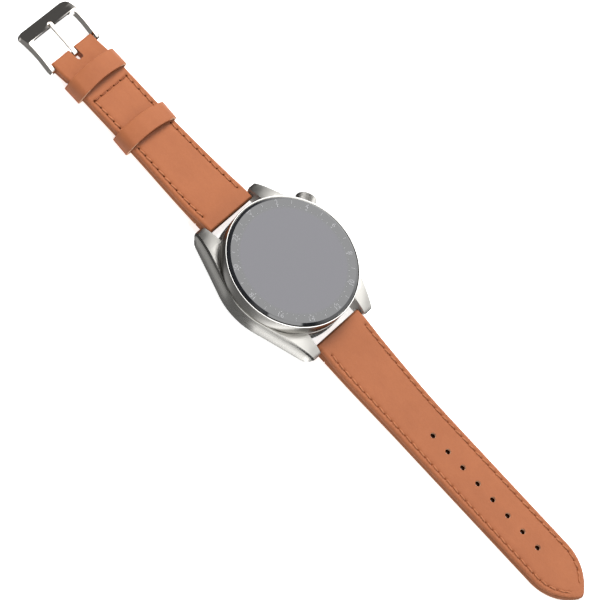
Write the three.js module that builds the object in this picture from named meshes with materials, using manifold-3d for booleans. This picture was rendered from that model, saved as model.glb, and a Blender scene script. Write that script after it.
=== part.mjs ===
// Smartwatch with a round metal case, a two-part leather strap and a pin buckle, laid out flat.
// Millimetres, +Z up through the glass, +Y towards the buckle, +X towards the crown.
// The origin is the centre of the sensor window's lower face, which rests on the table.
import * as THREE from 'three';
import { mergeVertices } from 'three/addons/utils/BufferGeometryUtils.js';
import Module from 'manifold-3d';

const wasm = await Module();
wasm.setup();

// ---------- driving dimensions ----------

const FIT = 0.3;            // clearance between a piece and the pocket or hole cut for it
const BOND = 0.05;          // glue line or seat between stacked pieces
const ROUND = 56;           // facets on case-sized rings
const SMALL = 16;           // facets on pins, stems and screws

const CASE = { r: 23.9, bottom: 1.2, top: 7.9, edge: 0.35 };
const CAVITY = { r: 20.4, ledgeR: 19.2, ledgeBottom: 2.6, ledgeTop: 3.3, recessR: 21.25 };
const LUG = {
  gapHalf: 11.4,            // half the gap that takes a 22 mm strap
  outerRoot: [22.6, 7.8],   // where the straight outer flank leaves the round case
  outerTip: [15.4, 27.7],
  flankAngle: 19.9,         // direction of the flank's normal, in degrees from X
  end: 28.2,
  holeR: 0.62,
  holeDepth: 1.7,
};
const BAR = { y: 26.4, z: 3.4, tubeR: 0.75, tipR: 0.42, boreR: 0.52, tunnelR: 0.95 };
const BEZEL = { r: 23.45, top: 12.9, seatZ: 12.2, seatR: 21.3, glassR: 22.95 };
const GLASS = { r: 22.75, bottom: 12.45, top: 13.5, flatR: 21.7 };
const PANEL = { r: 19.5, bottom: 11.1, top: 12.22 };
const FILM = { inner: 18.3, outer: 21.1, bottom: 12.27, top: 12.4 };

const BACK = { r: 20.95, rimZ: 1.25, innerR: 9.6, innerZ: 0.75, top: 2.3 };
const WINDOW = { flatR: 6.5, r: 9.35, shoulderZ: 0.75, top: 1.9 };
const FRAME = { r: 20.1, bottom: 3.65, top: 8.55 };
const BOARD = { r: 19.2, bottom: 8.75, top: 9.45 };
const BATTERY = { width: 22.6, length: 24.6, bottom: 3.85, top: 8.35, x: -3.2 };
const POCKET = { width: 13, depth: 4.8, y: 16.4 };

const CROWN = { angle: 28, z: 6.2, r: 3.6, inner: 24.8, rim: 28.1, apex: 28.8, stemR: 0.6, travel: 0.5 };
const BUTTON = {
  angle: -31, z: 4.6, length: 7.4, height: 2.6, proud: 0.1, back: 22.75, stemR: 0.6, travel: 0.3,
};
const STOP_GAP = 0.15;      // room left behind the crown and the button at the end of their travel

const STRAP = { halfAtLug: 10.8, half: 9.9, taperFrom: 29, taperTo: 68, top: 1.1, lining: 0.7, nose: 1.4 };
const PIVOT = { y: 99.4, z: 1.6 };
const SHORT_END = 101.1;
const SLOT = { half: 1.35, from: 96.2 };
const LONG_TIP = 143.6;
const TIP = { length: 15.6, blunt: 0.015, steps: 6 };
const HOLE = { first: 72.2, pitch: 7.1, count: 8, r: 1.0 };

const KEEPER = { halfWidth: 11.4, height: 6.2, shoulder: 5.2, thickness: 0.95, length: 6.9 };
const FIXED_KEEPER_Y = 88.85;
const FREE_KEEPER = { y: 65.25, yaw: -3.2 };
const BUCKLE = { half: 11.6, armWidth: 1.3, outerEnd: 115.4, barInner: 110.7, corner: 2.0 };
const BUCKLE_FOLD_Y = 92.9; // end of the upper leather where it returns from the buckle bar
const LUG_FOLD_Y = 30.6;    // end of the upper leather where it returns from the lug bar
const LAYERS_FROM = 30.9;
const FILLER_GAP = 0.06;

// Strap sections: distance from the case centre, underside height and top height.
const SHORT_SECTIONS = [
  [26.4, 1.4, 5.4], [29.4, 1.4, 5.35], [34, 1.35, 4.7], [40, 1.25, 4.3], [50, 1.2, 4.0],
  [62, 1.2, 3.85], [92.5, 1.2, 3.8], [96, 0.75, 3.35], [99.4, 0.3, 2.9],
];
const LONG_SECTIONS = [
  [26.4, 1.4, 5.4], [29.4, 1.35, 5.3], [34, 1.2, 4.5], [40, 0.85, 4.0], [50, 0.4, 3.45],
  [62, 0.08, 2.95], [74, 0, 2.75], [LONG_TIP, 0, 2.7],
];

const MATERIALS = {
  metal: [0x9c9a96, 0.9, 0.35],
  polished: [0xc9c9c7, 1.0, 0.15],
  steel: [0xb4b4b2, 0.9, 0.4],
  glass: [0x35353a, 0.0, 0.08],
  leather: [0xc37a58, 0.0, 0.55],
  lining: [0xb98a63, 0.0, 0.6],
  plastic: [0x2a2a2c, 0.0, 0.6],
  ceramic: [0x1c1c1e, 0.0, 0.25],
  board: [0x1e4d35, 0.0, 0.5],
  copper: [0xb8713c, 0.9, 0.35],
  rubber: [0x1b1b1b, 0.0, 0.85],
  ferrite: [0x3c3a38, 0.1, 0.8],
  pouch: [0x8f9193, 0.3, 0.5],
  print: [0x1a1a1d, 0.0, 0.5],
};

// ---------- solids from three.js geometry ----------

function signedVolume(position, index) {
  const a = new THREE.Vector3();
  const b = new THREE.Vector3();
  const c = new THREE.Vector3();
  let six = 0;
  for (let i = 0; i < index.length; i += 3) {
    a.fromBufferAttribute(position, index[i]);
    b.fromBufferAttribute(position, index[i + 1]);
    c.fromBufferAttribute(position, index[i + 2]);
    six += a.dot(b.cross(c));
  }
  return six;
}

/** A closed three.js geometry as a solid, with its collapsed triangles dropped and its faces outward. */
function solid(geometry) {
  geometry.deleteAttribute('normal');
  geometry.deleteAttribute('uv');
  const merged = mergeVertices(geometry, 1e-4);
  const source = merged.index.array;
  const triangles = [];
  for (let i = 0; i < source.length; i += 3) {
    const [a, b, c] = [source[i], source[i + 1], source[i + 2]];
    if (a !== b && b !== c && c !== a) triangles.push([a, b, c]);
  }
  const inward = signedVolume(merged.attributes.position, triangles.flat()) < 0;
  const index = inward ? triangles.map(([a, b, c]) => [a, c, b]) : triangles;
  return new wasm.Manifold(new wasm.Mesh({
    numProp: 3,
    vertProperties: new Float32Array(merged.attributes.position.array),
    triVerts: new Uint32Array(index.flat()),
  }));
}

function outlineShape(points) {
  return new THREE.Shape(points.map(([x, y]) => new THREE.Vector2(x, y)));
}

const AXES = {
  z: new THREE.Matrix4(),
  x: new THREE.Matrix4().makeBasis(
    new THREE.Vector3(0, 1, 0), new THREE.Vector3(0, 0, 1), new THREE.Vector3(1, 0, 0)),
  y: new THREE.Matrix4().makeBasis(
    new THREE.Vector3(1, 0, 0), new THREE.Vector3(0, 0, 1), new THREE.Vector3(0, -1, 0)),
};

/** Extrudes a shape from one height to another: drawn in XY along z, in YZ along x, in XZ along y. */
function extrude(shape, from, to, along = 'z', curveSegments = 8) {
  const outline = Array.isArray(shape) ? outlineShape(shape) : shape;
  const settings = { depth: to - from, bevelEnabled: false, curveSegments };
  const geometry = new THREE.ExtrudeGeometry(outline, settings);
  geometry.translate(0, 0, along === 'y' ? -to : from);
  geometry.applyMatrix4(AXES[along]);
  return solid(geometry);
}

/** Revolves [radius, height] points about Z. */
function lathe(points, segments = ROUND) {
  const geometry = new THREE.LatheGeometry(points.map(([r, z]) => new THREE.Vector2(r, z)), segments);
  geometry.rotateX(Math.PI / 2);
  return solid(geometry);
}

/** Revolves [distance along X, radius] points about X. */
function turned(points, segments = SMALL) {
  const geometry = new THREE.LatheGeometry(points.map(([x, r]) => new THREE.Vector2(r, x)), segments);
  geometry.rotateZ(-Math.PI / 2);
  return solid(geometry);
}

function rod(from, to, r, segments = SMALL) {
  return turned([[from, 0], [from, r], [to, r], [to, 0]], segments);
}

function tube(from, to, inner, outer, segments = SMALL) {
  return turned([[from, inner], [from, outer], [to, outer], [to, inner], [from, inner]], segments);
}

function ring(inner, outer, bottom, top, segments = ROUND) {
  return lathe([[inner, bottom], [outer, bottom], [outer, top], [inner, top], [inner, bottom]], segments);
}

function disc(r, bottom, top, segments = ROUND) {
  return lathe([[0, bottom], [r, bottom], [r, top], [0, top]], segments);
}

function block(x0, x1, y0, y1, z0, z1) {
  const geometry = new THREE.BoxGeometry(x1 - x0, y1 - y0, z1 - z0);
  geometry.translate((x0 + x1) / 2, (y0 + y1) / 2, (z0 + z1) / 2);
  return solid(geometry);
}

function roundedRect(x0, x1, y0, y1, r) {
  const shape = new THREE.Shape();
  shape.absarc(x1 - r, y0 + r, r, -Math.PI / 2, 0);
  shape.absarc(x1 - r, y1 - r, r, 0, Math.PI / 2);
  shape.absarc(x0 + r, y1 - r, r, Math.PI / 2, Math.PI);
  shape.absarc(x0 + r, y0 + r, r, Math.PI, 1.5 * Math.PI);
  return shape;
}

/** Moves a solid by a turn about Z in degrees, then by an offset. */
function placed(piece, turn, x, y, z) {
  return piece.rotate([0, 0, turn]).translate([x, y, z]);
}

function union(pieces) {
  return pieces.reduce((sum, piece) => sum.add(piece));
}

function cut(piece, cutters) {
  return cutters.reduce((rest, cutter) => rest.subtract(cutter), piece);
}

function mesh(name, piece, look) {
  const data = piece.getMesh();
  const geometry = new THREE.BufferGeometry();
  geometry.setAttribute('position', new THREE.BufferAttribute(Float32Array.from(data.vertProperties), 3));
  geometry.setIndex(new THREE.BufferAttribute(Uint32Array.from(data.triVerts), 1));
  geometry.computeVertexNormals();
  const [color, metalness, roughness] = MATERIALS[look];
  const result = new THREE.Mesh(geometry, new THREE.MeshStandardMaterial({ color, metalness, roughness }));
  result.name = name;
  return result;
}

// ---------- case ----------

/** One lug: its side view, swept across the case, kept inside its plan outline. */
function lug(sx, sy) {
  const [rootX, rootY] = LUG.outerRoot;
  const [tipX, tipY] = LUG.outerTip;
  const plan = [
    [LUG.gapHalf, 12], [21.5, 5], [rootX, rootY], [tipX, tipY],
    [tipX - 0.9, LUG.end], [LUG.gapHalf + 0.8, LUG.end], [LUG.gapHalf, LUG.end - 0.8],
  ].map(([x, y]) => [sx * x, sy * y]);
  const side = [
    [4, CASE.bottom], [25.9, 1.0], [LUG.end, 4.6], [27.7, 5.4],
    [24.4, 6.7], [20.5, 7.55], [16, CASE.top], [4, CASE.top],
  ].map(([y, z]) => [sy * y, z]);
  const sweep = extrude(side, -CASE.r, CASE.r, 'x');
  return extrude(plan, 0, CASE.top + 1).intersect(sweep);
}

/** A hole or stem position in the case wall, measured outward along a radius. */
function onRadius(piece, control) {
  return placed(piece, control.angle, 0, 0, control.z);
}

function pill(from, to, length, height) {
  const shape = roundedRect(-length / 2, length / 2, -height / 2, height / 2, height / 2 - 0.01);
  return extrude(shape, from, to, 'x', 6);
}

function caseBody() {
  const { r, bottom, top, edge } = CASE;
  const outside = lathe([
    [0, bottom], [r - edge, bottom], [r, bottom + edge], [r, top - edge], [r - edge, top], [0, top],
  ]);
  const inside = lathe([
    [0, bottom - 1], [CAVITY.recessR, bottom - 1], [CAVITY.recessR, CAVITY.ledgeBottom],
    [CAVITY.ledgeR, CAVITY.ledgeBottom], [CAVITY.ledgeR, CAVITY.ledgeTop],
    [CAVITY.r, CAVITY.ledgeTop], [CAVITY.r, top + 1], [0, top + 1],
  ]);
  const lugs = [[1, 1], [-1, 1], [-1, -1], [1, -1]].map(([sx, sy]) => lug(sx, sy));
  const reach = LUG.gapHalf + LUG.holeDepth;
  const barHoles = [BAR.y, -BAR.y].map((y) => rod(-reach, reach, LUG.holeR, 16).translate([0, y, BAR.z]));
  const crownHole = onRadius(rod(CAVITY.r - 2, r + 2, 1.5, 16), CROWN);
  const crownSeat = onRadius(rod(CROWN.inner - CROWN.travel - STOP_GAP, r + 3, CROWN.r + FIT, 32), CROWN);
  const buttonFloor = BUTTON.back - BUTTON.travel - STOP_GAP;
  const buttonPocket = onRadius(
    pill(buttonFloor, r + 2, BUTTON.length + 2 * FIT, BUTTON.height + 2 * FIT), BUTTON);
  const buttonHole = onRadius(rod(CAVITY.r - 2, r, 1.0, 16), BUTTON);
  const port = extrude(roundedRect(-0.5, 0.5, 3.6, 5.2, 0.45), -r - 1, -CAVITY.r + 1, 'y', 4);
  const ports = [-2.4, 0, 2.4].map((x) => port.translate([x, 0, 0]));
  const openings = [inside, ...barHoles, crownHole, crownSeat, buttonPocket, buttonHole, ...ports];
  return cut(union([outside, ...lugs]), openings);
}

function bezelRing() {
  const { r, top, seatZ, seatR, glassR } = BEZEL;
  const base = CASE.top + BOND;
  return lathe([
    [seatR, base], [r, base], [r, top - 0.2], [r - 0.2, top], [glassR, top],
    [glassR, seatZ], [seatR, seatZ], [seatR, base],
  ]);
}

function coverGlass() {
  const { r, bottom, top, flatR } = GLASS;
  return lathe([
    [0, bottom], [r, bottom], [r, bottom + 0.45], [r - 0.35, top - 0.18], [flatR, top], [0, top],
  ]);
}

/** Ribbon cable from under the display, round its edge and down to the board. */
function displayFlex() {
  const [high, low] = [PANEL.bottom - 0.12, BOARD.top + 0.1];
  const ribbon = [
    [-8, high], [-15.6, high], [-16.2, high - 0.5], [-16.2, low + 0.4], [-15.8, low], [-9, low],
    [-9, low + 0.18], [-15.7, low + 0.18], [-16.0, low + 0.5], [-16.0, high - 0.55],
    [-15.5, high - 0.18], [-8, high - 0.18],
  ];
  return extrude(ribbon, -4, 4, 'x');
}

function backCover() {
  return lathe([
    [BACK.innerR, BACK.innerZ], [BACK.r - 0.6, BACK.rimZ - 0.1], [BACK.r, BACK.rimZ + 0.2],
    [BACK.r, BACK.top], [BACK.innerR, BACK.top], [BACK.innerR, BACK.innerZ],
  ]);
}

function sensorWindow() {
  const { flatR, r, shoulderZ, top } = WINDOW;
  return lathe([[0, 0], [flatR, 0], [8.3, 0.25], [r, shoulderZ], [r, top], [0, top]], 48);
}

/** Optical sensor board with its light source in the middle and eight photodiodes round it. */
function sensorBoard() {
  const cells = [block(-1.4, 1.4, -1.4, 1.4, 2.02, 2.3)];
  for (let i = 0; i < 8; i += 1) {
    cells.push(placed(block(-0.9, 0.9, -0.9, 0.9, 2.02, 2.3), 45 * i, 0, 0, 0)
      .translate([5.2 * Math.cos(Math.PI * i / 4), 5.2 * Math.sin(Math.PI * i / 4), 0]));
  }
  return union([disc(8.6, 2.2, 2.7, 36), ...cells]);
}

// Pockets of the inner frame, cut right through it.
function framePockets() {
  const batteryHalf = [BATTERY.width / 2 + FIT, BATTERY.length / 2 + FIT];
  const [bottom, top] = [FRAME.bottom - 1, FRAME.top + 1];
  const half = POCKET.width / 2;
  return [
    block(-batteryHalf[0], batteryHalf[0], -batteryHalf[1], batteryHalf[1], bottom, top)
      .translate([BATTERY.x, 0, 0]),
    block(-half, half, POCKET.y - POCKET.depth / 2, POCKET.y + POCKET.depth / 2, bottom, top),
    block(-half, half, -21, -POCKET.y + POCKET.depth / 2, bottom, top),
    placed(block(12.9, 21, -2.7, 2.7, bottom, top), CROWN.angle, 0, 0, 0),
    placed(block(14.6, 21, -2.7, 2.7, bottom, top), BUTTON.angle, 0, 0, 0),
  ];
}

const SCREW_ANGLES = [-8, 128, 232];
const SCREW_RADIUS = 17.9;

function atScrews(piece) {
  return SCREW_ANGLES.map((turn) => piece.translate([SCREW_RADIUS, 0, 0]).rotate([0, 0, turn]));
}

function innerFrame() {
  const bores = atScrews(disc(0.45 + FIT, FRAME.bottom + 1, FRAME.top + 1, 14));
  return cut(disc(FRAME.r, FRAME.bottom, FRAME.top), [...framePockets(), ...bores]);
}

function boardScrew() {
  const head = BOARD.top + BOND;
  const body = lathe([
    [0, 5.6], [0.3, 5.6], [0.45, 5.9], [0.45, head], [0.95, head], [0.95, head + 0.4], [0, head + 0.4],
  ], 14);
  return cut(body, [block(-0.6, 0.6, -0.14, 0.14, head + 0.15, head + 1)]);
}

/** Round circuit board with its processor, memory, power and radio parts soldered on. */
function mainBoard() {
  const top = BOARD.top - 0.1;
  const parts = [
    block(-4, 4, 1, 9, top, 10.45), block(5.6, 11.6, -1, 5, top, 10.3), block(-12.5, -6.5, -3, 4, top, 10.55),
    block(5, 9.4, 8.4, 12, top, 10.2), block(-11, -7.4, 7.6, 11.2, top, 10.15),
    block(6.4, 12.4, -9.4, -4.4, top, 10.3), block(-13, -6.6, -11, -6.6, top, 10.2),
  ];
  const holes = atScrews(disc(0.45 + FIT, BOARD.bottom - 1, BOARD.top + 1, 14));
  return cut(union([disc(BOARD.r, BOARD.bottom, BOARD.top, 48), ...parts]), holes);
}

function battery() {
  const { width, length, bottom, top, x } = BATTERY;
  return extrude(roundedRect(x - width / 2, x + width / 2, -length / 2, length / 2, 2), bottom, top, 'z', 3);
}

function vibrationMotor() {
  return extrude(roundedRect(-5.2, 5.2, POCKET.y - 1.9, POCKET.y + 1.9, 0.6), 4.3, 7.6, 'z', 2);
}

function speakerModule() {
  const box = extrude(roundedRect(-6, 6, -POCKET.y - 1.6, -POCKET.y + 1.9, 0.8), 3.9, 7.4, 'z', 3);
  return box.add(block(-3.4, 3.4, -19.7, -POCKET.y, 3.95, 5.4));
}

// ---------- crown and side button, built outward along +X ----------

const FLUTES = 24;
const TUBE = { from: 19.6, to: CROWN.inner - CROWN.travel - STOP_GAP, inner: 1.0, outer: 1.25 };

/** Domed cap with fluted sides and a bore for the stem. */
function crownCap() {
  const { r, inner, rim, apex } = CROWN;
  const dome = turned([
    [inner, 0], [inner, r - 0.25], [inner + 0.25, r], [rim, r], [rim + 0.35, r - 0.45],
    [apex - 0.1, 1.6], [apex, 0],
  ], FLUTES);
  const flute = rod(inner + 0.3, rim + 0.1, 0.2, 4);
  const flutes = [];
  for (let i = 0; i < FLUTES; i += 1) {
    const turn = Math.PI * 2 * (i + 0.5) / FLUTES;
    flutes.push(flute.translate([0, (r + 0.03) * Math.cos(turn), (r + 0.03) * Math.sin(turn)]));
  }
  return cut(dome, [rod(inner - 1, inner + 1.1, CROWN.stemR + 0.15, 16), ...flutes]);
}

function crownStem() {
  return rod(17.3, CROWN.inner + 0.9, CROWN.stemR, 16);
}

function sealRing(at, inner, outer) {
  return tube(at - 0.2, at + 0.2, inner, outer, 16);
}

/** Sliding fork behind the stem, which passes the push on to the switch. */
function crownCarrier() {
  const plate = block(16.6, 17.05, -2.1, 2.1, -1.5, 1.5);
  const arm = block(16.6, 18.2, 1.5, 2.1, -1.5, 1.5);
  return union([plate, arm, arm.translate([0, -3.6, 0])]);
}

/** Tactile switch: a square housing with a round key facing outward. */
function tactSwitch(key) {
  return block(key - 2.5, key - 0.5, -1.8, 1.8, -1.2, 1.2).add(rod(key - 0.7, key, 0.7, 12));
}

function sideButton() {
  const { angle, length, height, proud, back, stemR } = BUTTON;
  const flank = block(0, CASE.r + proud, -9, 9, -5, 5).rotate([0, 0, -LUG.flankAngle - angle]);
  const cap = pill(back, CASE.r + 2, length, height).intersect(flank);
  return cap.add(rod(18.5, back + 0.4, stemR, 16));
}

// ---------- spring bars ----------

/** Bar tube with one fixed tip, bored from its other end, slotted below for the release knob. */
function lugBar() {
  const shoulder = 10.4;
  const tip = 12.6;
  const body = turned([
    [-shoulder, 0], [-shoulder, BAR.tubeR], [shoulder, BAR.tubeR],
    [shoulder, BAR.tipR], [tip, BAR.tipR], [tip, 0],
  ]);
  const bore = rod(-11, -4.6, BAR.boreR, 16);
  const slot = block(-9.0, -6.9, -0.5, 0.5, -1.2, 0);
  return cut(body, [bore, slot]);
}

/** Retractable tip of a lug bar, with the knob that pulls it back. */
function releasePin() {
  return rod(-12.5, -6.4, BAR.tipR, 16).add(block(-8.7, -8.2, -0.35, 0.35, -1.85, 0));
}

function buckleBar() {
  const step = 9.7;
  const tip = 11.35;
  const half = [[step, 0.72], [step, 0.45], [tip, 0.45], [tip, 0]];
  return turned([...half.map(([x, r]) => [-x, r]).reverse(), ...half], 16);
}

// ---------- straps, built towards +Y ----------

function noseOutline(y, low, high) {
  const end = y - STRAP.nose;
  const corner = 0.9;
  return [[y, low], [end + corner, low], [end + 0.25, low + 0.3], [end, low + corner],
    [end, high - corner], [end + 0.25, high - 0.3], [end + corner, high], [y, high]];
}

function upperEdge(sections, lift) {
  return sections.map(([y, , top]) => [y, top + lift]);
}

/** Underside (column 1) or top (column 2) of a strap at a distance from the case centre. */
function sectionAt(sections, y, column) {
  const next = Math.max(1, sections.findIndex((section) => section[0] >= y));
  const [a, b] = [sections[next - 1], sections[next]];
  return a[column] + (b[column] - a[column]) * (y - a[0]) / (b[0] - a[0]);
}

/** Outer leather: the show side, folded round the lug bar and, on the short strap, round the buckle bar. */
function upperOutline(sections, endsAtBar) {
  const underside = sections[1][1];
  const [barY, low, high] = sections[0];
  const nose = noseOutline(barY, low, high);
  const show = upperEdge(sections.slice(1), 0);
  const back = upperEdge(sections.slice(2), -STRAP.top).reverse();
  const fold = [
    [29.2, sections[1][2] - STRAP.top], [29.2, underside + 0.95],
    [LUG_FOLD_Y, underside + 0.9], [LUG_FOLD_Y, underside],
  ];
  if (!endsAtBar) return [...nose, ...show, ...back, ...fold];
  const [endY, endLow, endHigh] = sections[sections.length - 1];
  const buckleFold = [
    [SHORT_END - 0.7, endHigh], [SHORT_END, endHigh - 0.7],
    [SHORT_END, endLow + 0.7], [SHORT_END - 0.7, endLow],
    [endY, endLow], [BUCKLE_FOLD_Y, sectionAt(sections, BUCKLE_FOLD_Y, 1)],
    [BUCKLE_FOLD_Y, sectionAt(sections, BUCKLE_FOLD_Y, 2) - STRAP.top],
  ];
  return [...nose, ...show, ...buckleFold, ...back.slice(2), ...fold];
}

/** A layer between two curves, each given as a column of the sections and a lift above it. */
function layerOutline(sections, to, low, high) {
  const stations = [LAYERS_FROM, ...sections.map((s) => s[0]).filter((y) => y > LAYERS_FROM && y < to), to];
  const curve = (side) => stations.map((y) => [y, sectionAt(sections, y, side.column) + side.lift]);
  return [...curve(low), ...curve(high).reverse()];
}

function straightSides(end) {
  const { halfAtLug, half, taperFrom, taperTo } = STRAP;
  return [[halfAtLug, 20], [halfAtLug, taperFrom], [half, taperTo], [half, end]];
}

function mirrored(side) {
  return [...side, ...side.map(([x, y]) => [-x, y]).reverse()];
}

function shortPlan() {
  const corner = 1.0;
  return mirrored([...straightSides(SHORT_END - corner), [STRAP.half - corner, SHORT_END + 0.01]]);
}

/** Long strap plan: parallel sides that run into a pointed end of two equal arcs. */
function longPlan() {
  const arcR = (TIP.length ** 2 + STRAP.half ** 2) / (2 * STRAP.half);
  const start = LONG_TIP - TIP.length;
  const arc = [];
  for (let i = 1; i <= TIP.steps; i += 1) {
    const along = TIP.length * (1 - TIP.blunt) * i / TIP.steps;
    arc.push([STRAP.half - arcR + Math.sqrt(arcR ** 2 - along ** 2), start + along]);
  }
  return mirrored([...straightSides(start), ...arc]);
}

/** The three glued layers of a strap half, each trimmed to its plan and cut by its openings. */
function strapLayers(sections, plan, openings, endsAtBar) {
  const wide = STRAP.halfAtLug + 1;
  const tunnel = rod(-wide, wide, BAR.tunnelR, 16).translate([0, BAR.y, BAR.z]);
  const knobPocket = block(-9.3, -6.6, 25.6, 27.2, 1.0, BAR.z);
  const cutters = [tunnel, knobPocket, ...openings];
  const trim = (outline) => cut(extrude(outline, -wide, wide, 'x').intersect(extrude(plan, -1, 8)), cutters);
  const innerEnd = endsAtBar ? BUCKLE_FOLD_Y - FIT : LONG_TIP;
  const underside = { column: 1, lift: 0 };
  const liningTop = { column: 1, lift: STRAP.lining };
  const fillerLow = { column: 1, lift: STRAP.lining + FILLER_GAP };
  const fillerTop = { column: 2, lift: -STRAP.top - FILLER_GAP };
  return {
    upper: trim(upperOutline(sections, endsAtBar)),
    filler: trim(layerOutline(sections, innerEnd, fillerLow, fillerTop)),
    lining: trim(layerOutline(sections, innerEnd, underside, liningTop)),
  };
}

function shortStrap() {
  const slotPlan = roundedRect(-SLOT.half, SLOT.half, SLOT.from, SHORT_END + 4, SLOT.half - 0.01);
  const slot = extrude(slotPlan, -2, 8, 'z', 4);
  const tunnel = rod(-12, 12, 0.92, 16).translate([0, PIVOT.y, PIVOT.z]);
  return strapLayers(SHORT_SECTIONS, shortPlan(), [slot, tunnel], true);
}

function longStrap() {
  const holes = [];
  for (let i = 0; i < HOLE.count; i += 1) {
    holes.push(disc(HOLE.r, -2, 8, 10).translate([0, HOLE.first + HOLE.pitch * i, 0]));
  }
  return strapLayers(LONG_SECTIONS, longPlan(), holes, false);
}

/** Leather loop: a flat underside, upright sides and a gently crowned top. */
function keeperShape(halfWidth, bottom, shoulder, top, r) {
  const shape = new THREE.Shape();
  const crownX = halfWidth - 2.2 * r;
  const crownZ = shoulder + 0.35 * (top - shoulder);
  shape.moveTo(-halfWidth + r, bottom);
  shape.lineTo(halfWidth - r, bottom);
  shape.quadraticCurveTo(halfWidth, bottom, halfWidth, bottom + r);
  shape.lineTo(halfWidth, shoulder - r);
  shape.quadraticCurveTo(halfWidth, shoulder, crownX, crownZ);
  shape.quadraticCurveTo(0, 2 * top - crownZ, -crownX, crownZ);
  shape.quadraticCurveTo(-halfWidth, shoulder, -halfWidth, shoulder - r);
  shape.lineTo(-halfWidth, bottom + r);
  shape.quadraticCurveTo(-halfWidth, bottom, -halfWidth + r, bottom);
  return shape;
}

function keeper() {
  const { halfWidth, height, shoulder, thickness, length } = KEEPER;
  const outer = keeperShape(halfWidth, 0, shoulder, height, 1.3);
  const inner = keeperShape(halfWidth - thickness, thickness, shoulder - thickness, height - thickness, 0.5);
  return extrude(outer, -length / 2, length / 2, 'y', 5)
    .subtract(extrude(inner, -length, length, 'y', 5));
}

// ---------- buckle ----------

/** Pin buckle: a rounded frame bowed in side view, open towards the strap, with a rest for the tongue. */
function buckleFrame() {
  const { half, armWidth, outerEnd, barInner, corner } = BUCKLE;
  const side = [
    [98.1, 1.5], [98.2, 2.2], [98.8, 2.75], [99.6, 2.95], [102, 3.45], [105, 3.95], [108, 4.1],
    [barInner, 3.8], [113, 3.0], [114.8, 1.95], [outerEnd, 1.2], [outerEnd - 0.1, 0.5], [114.6, 0],
    [112.8, 0.7], [110.6, 1.0], [108, 1.15], [105, 1.05],
    [102.4, 0.7], [100.6, 0.4], [99.6, 0.28], [98.7, 0.5],
  ];
  const plan = roundedRect(-half, half, 90, outerEnd, corner);
  const window = roundedRect(-half + armWidth, half - armWidth, 80, barInner, 1.9);
  const frame = extrude(side, -half, half, 'x').intersect(extrude(plan, -1, 6, 'z', 5));
  const rest = disc(1.25, 3.0, 7, 18).translate([0, barInner + 0.4, 0]);
  const pivotHoles = rod(-half - 1, half + 1, 0.62, 14).translate([0, PIVOT.y, PIVOT.z]);
  return cut(frame, [extrude(window, -2, 7, 'z', 4), rest, pivotHoles]);
}

/** Buckle tongue: an eye round the bar and a straight bar that comes down on the frame's rest. */
function buckleTongue() {
  const eye = [];
  const outer = 1.4;
  for (let i = 0; i <= 8; i += 1) {
    const turn = Math.PI * (0.56 + 0.94 * i / 8);
    eye.push([PIVOT.y + outer * Math.cos(turn), PIVOT.z + outer * Math.sin(turn)]);
  }
  const side = [...eye, [101.2, 1.1], [103, 2.35], [111.2, 3.25], [111.9, 3.55], [112.0, 4.0], [111.6, 4.35]];
  const body = extrude(side, -0.85, 0.85, 'x');
  return body.subtract(rod(-2, 2, 0.95, 16).translate([0, PIVOT.y, PIVOT.z]));
}

// ---------- assembly ----------

function frameOf(control) {
  const group = new THREE.Group();
  group.rotation.z = THREE.MathUtils.degToRad(control.angle);
  group.position.z = control.z;
  return group;
}

function caseGroup() {
  const group = new THREE.Group();
  const gasketZ = [BACK.top + BOND, CAVITY.ledgeBottom - BOND];
  group.add(
    mesh('case_body', caseBody(), 'metal'),
    mesh('bezel_ring', bezelRing(), 'metal'),
    mesh('cover_glass', coverGlass(), 'glass'),
    mesh('display_adhesive', ring(21.4, 22.7, BEZEL.seatZ + BOND, GLASS.bottom - BOND), 'print'),
    mesh('scale_film', ring(FILM.inner, FILM.outer, FILM.bottom, FILM.top), 'print'),
    mesh('display_panel', disc(PANEL.r, PANEL.bottom, PANEL.top), 'glass'),
    mesh('display_flex', displayFlex(), 'copper'),
    mesh('back_cover', backCover(), 'ceramic'),
    mesh('back_gasket', ring(19.5, 20.8, gasketZ[0], gasketZ[1], 48), 'rubber'),
    mesh('sensor_window', sensorWindow(), 'glass'),
    mesh('sensor_board', sensorBoard(), 'board'),
    mesh('charging_coil', ring(10.2, 16.4, BACK.top + BOND, 2.95, 48), 'copper'),
    mesh('ferrite_sheet', ring(9.6, 17.2, 3.0, 3.3, 48), 'ferrite'),
    mesh('inner_frame', innerFrame(), 'plastic'),
    mesh('battery', battery(), 'pouch'),
    mesh('main_board', mainBoard(), 'board'),
    mesh('vibration_motor', vibrationMotor(), 'steel'),
    mesh('speaker_module', speakerModule(), 'plastic'),
  );
  atScrews(boardScrew()).forEach((screw, i) => group.add(mesh(`board_screw_${i + 1}`, screw, 'steel')));
  return group;
}

function crownGroup() {
  const group = frameOf(CROWN);
  group.add(
    mesh('crown_tube', tube(TUBE.from, TUBE.to, TUBE.inner, TUBE.outer, 16), 'steel'),
    mesh('crown_switch', tactSwitch(16), 'steel'),
    mesh('crown_carrier', crownCarrier(), 'plastic'),
    mesh('crown_stem', crownStem(), 'steel'),
    mesh('crown_seal', sealRing(22.2, CROWN.stemR + 0.04, 0.9), 'rubber'),
    mesh('encoder_wheel', tube(18.4, 19.1, CROWN.stemR + 0.04, 1.7, 18), 'plastic'),
    mesh('crown_cap', crownCap(), 'metal'),
  );
  return group;
}

function buttonGroup() {
  const group = frameOf(BUTTON);
  group.add(
    mesh('side_button', sideButton(), 'metal'),
    mesh('button_seal', sealRing(21.5, BUTTON.stemR + 0.04, 0.92), 'rubber'),
    mesh('button_clip', tube(19.7, 20.0, BUTTON.stemR + 0.04, 1.15, 16), 'steel'),
    mesh('button_switch', tactSwitch(18.1), 'steel'),
  );
  return group;
}

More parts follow.
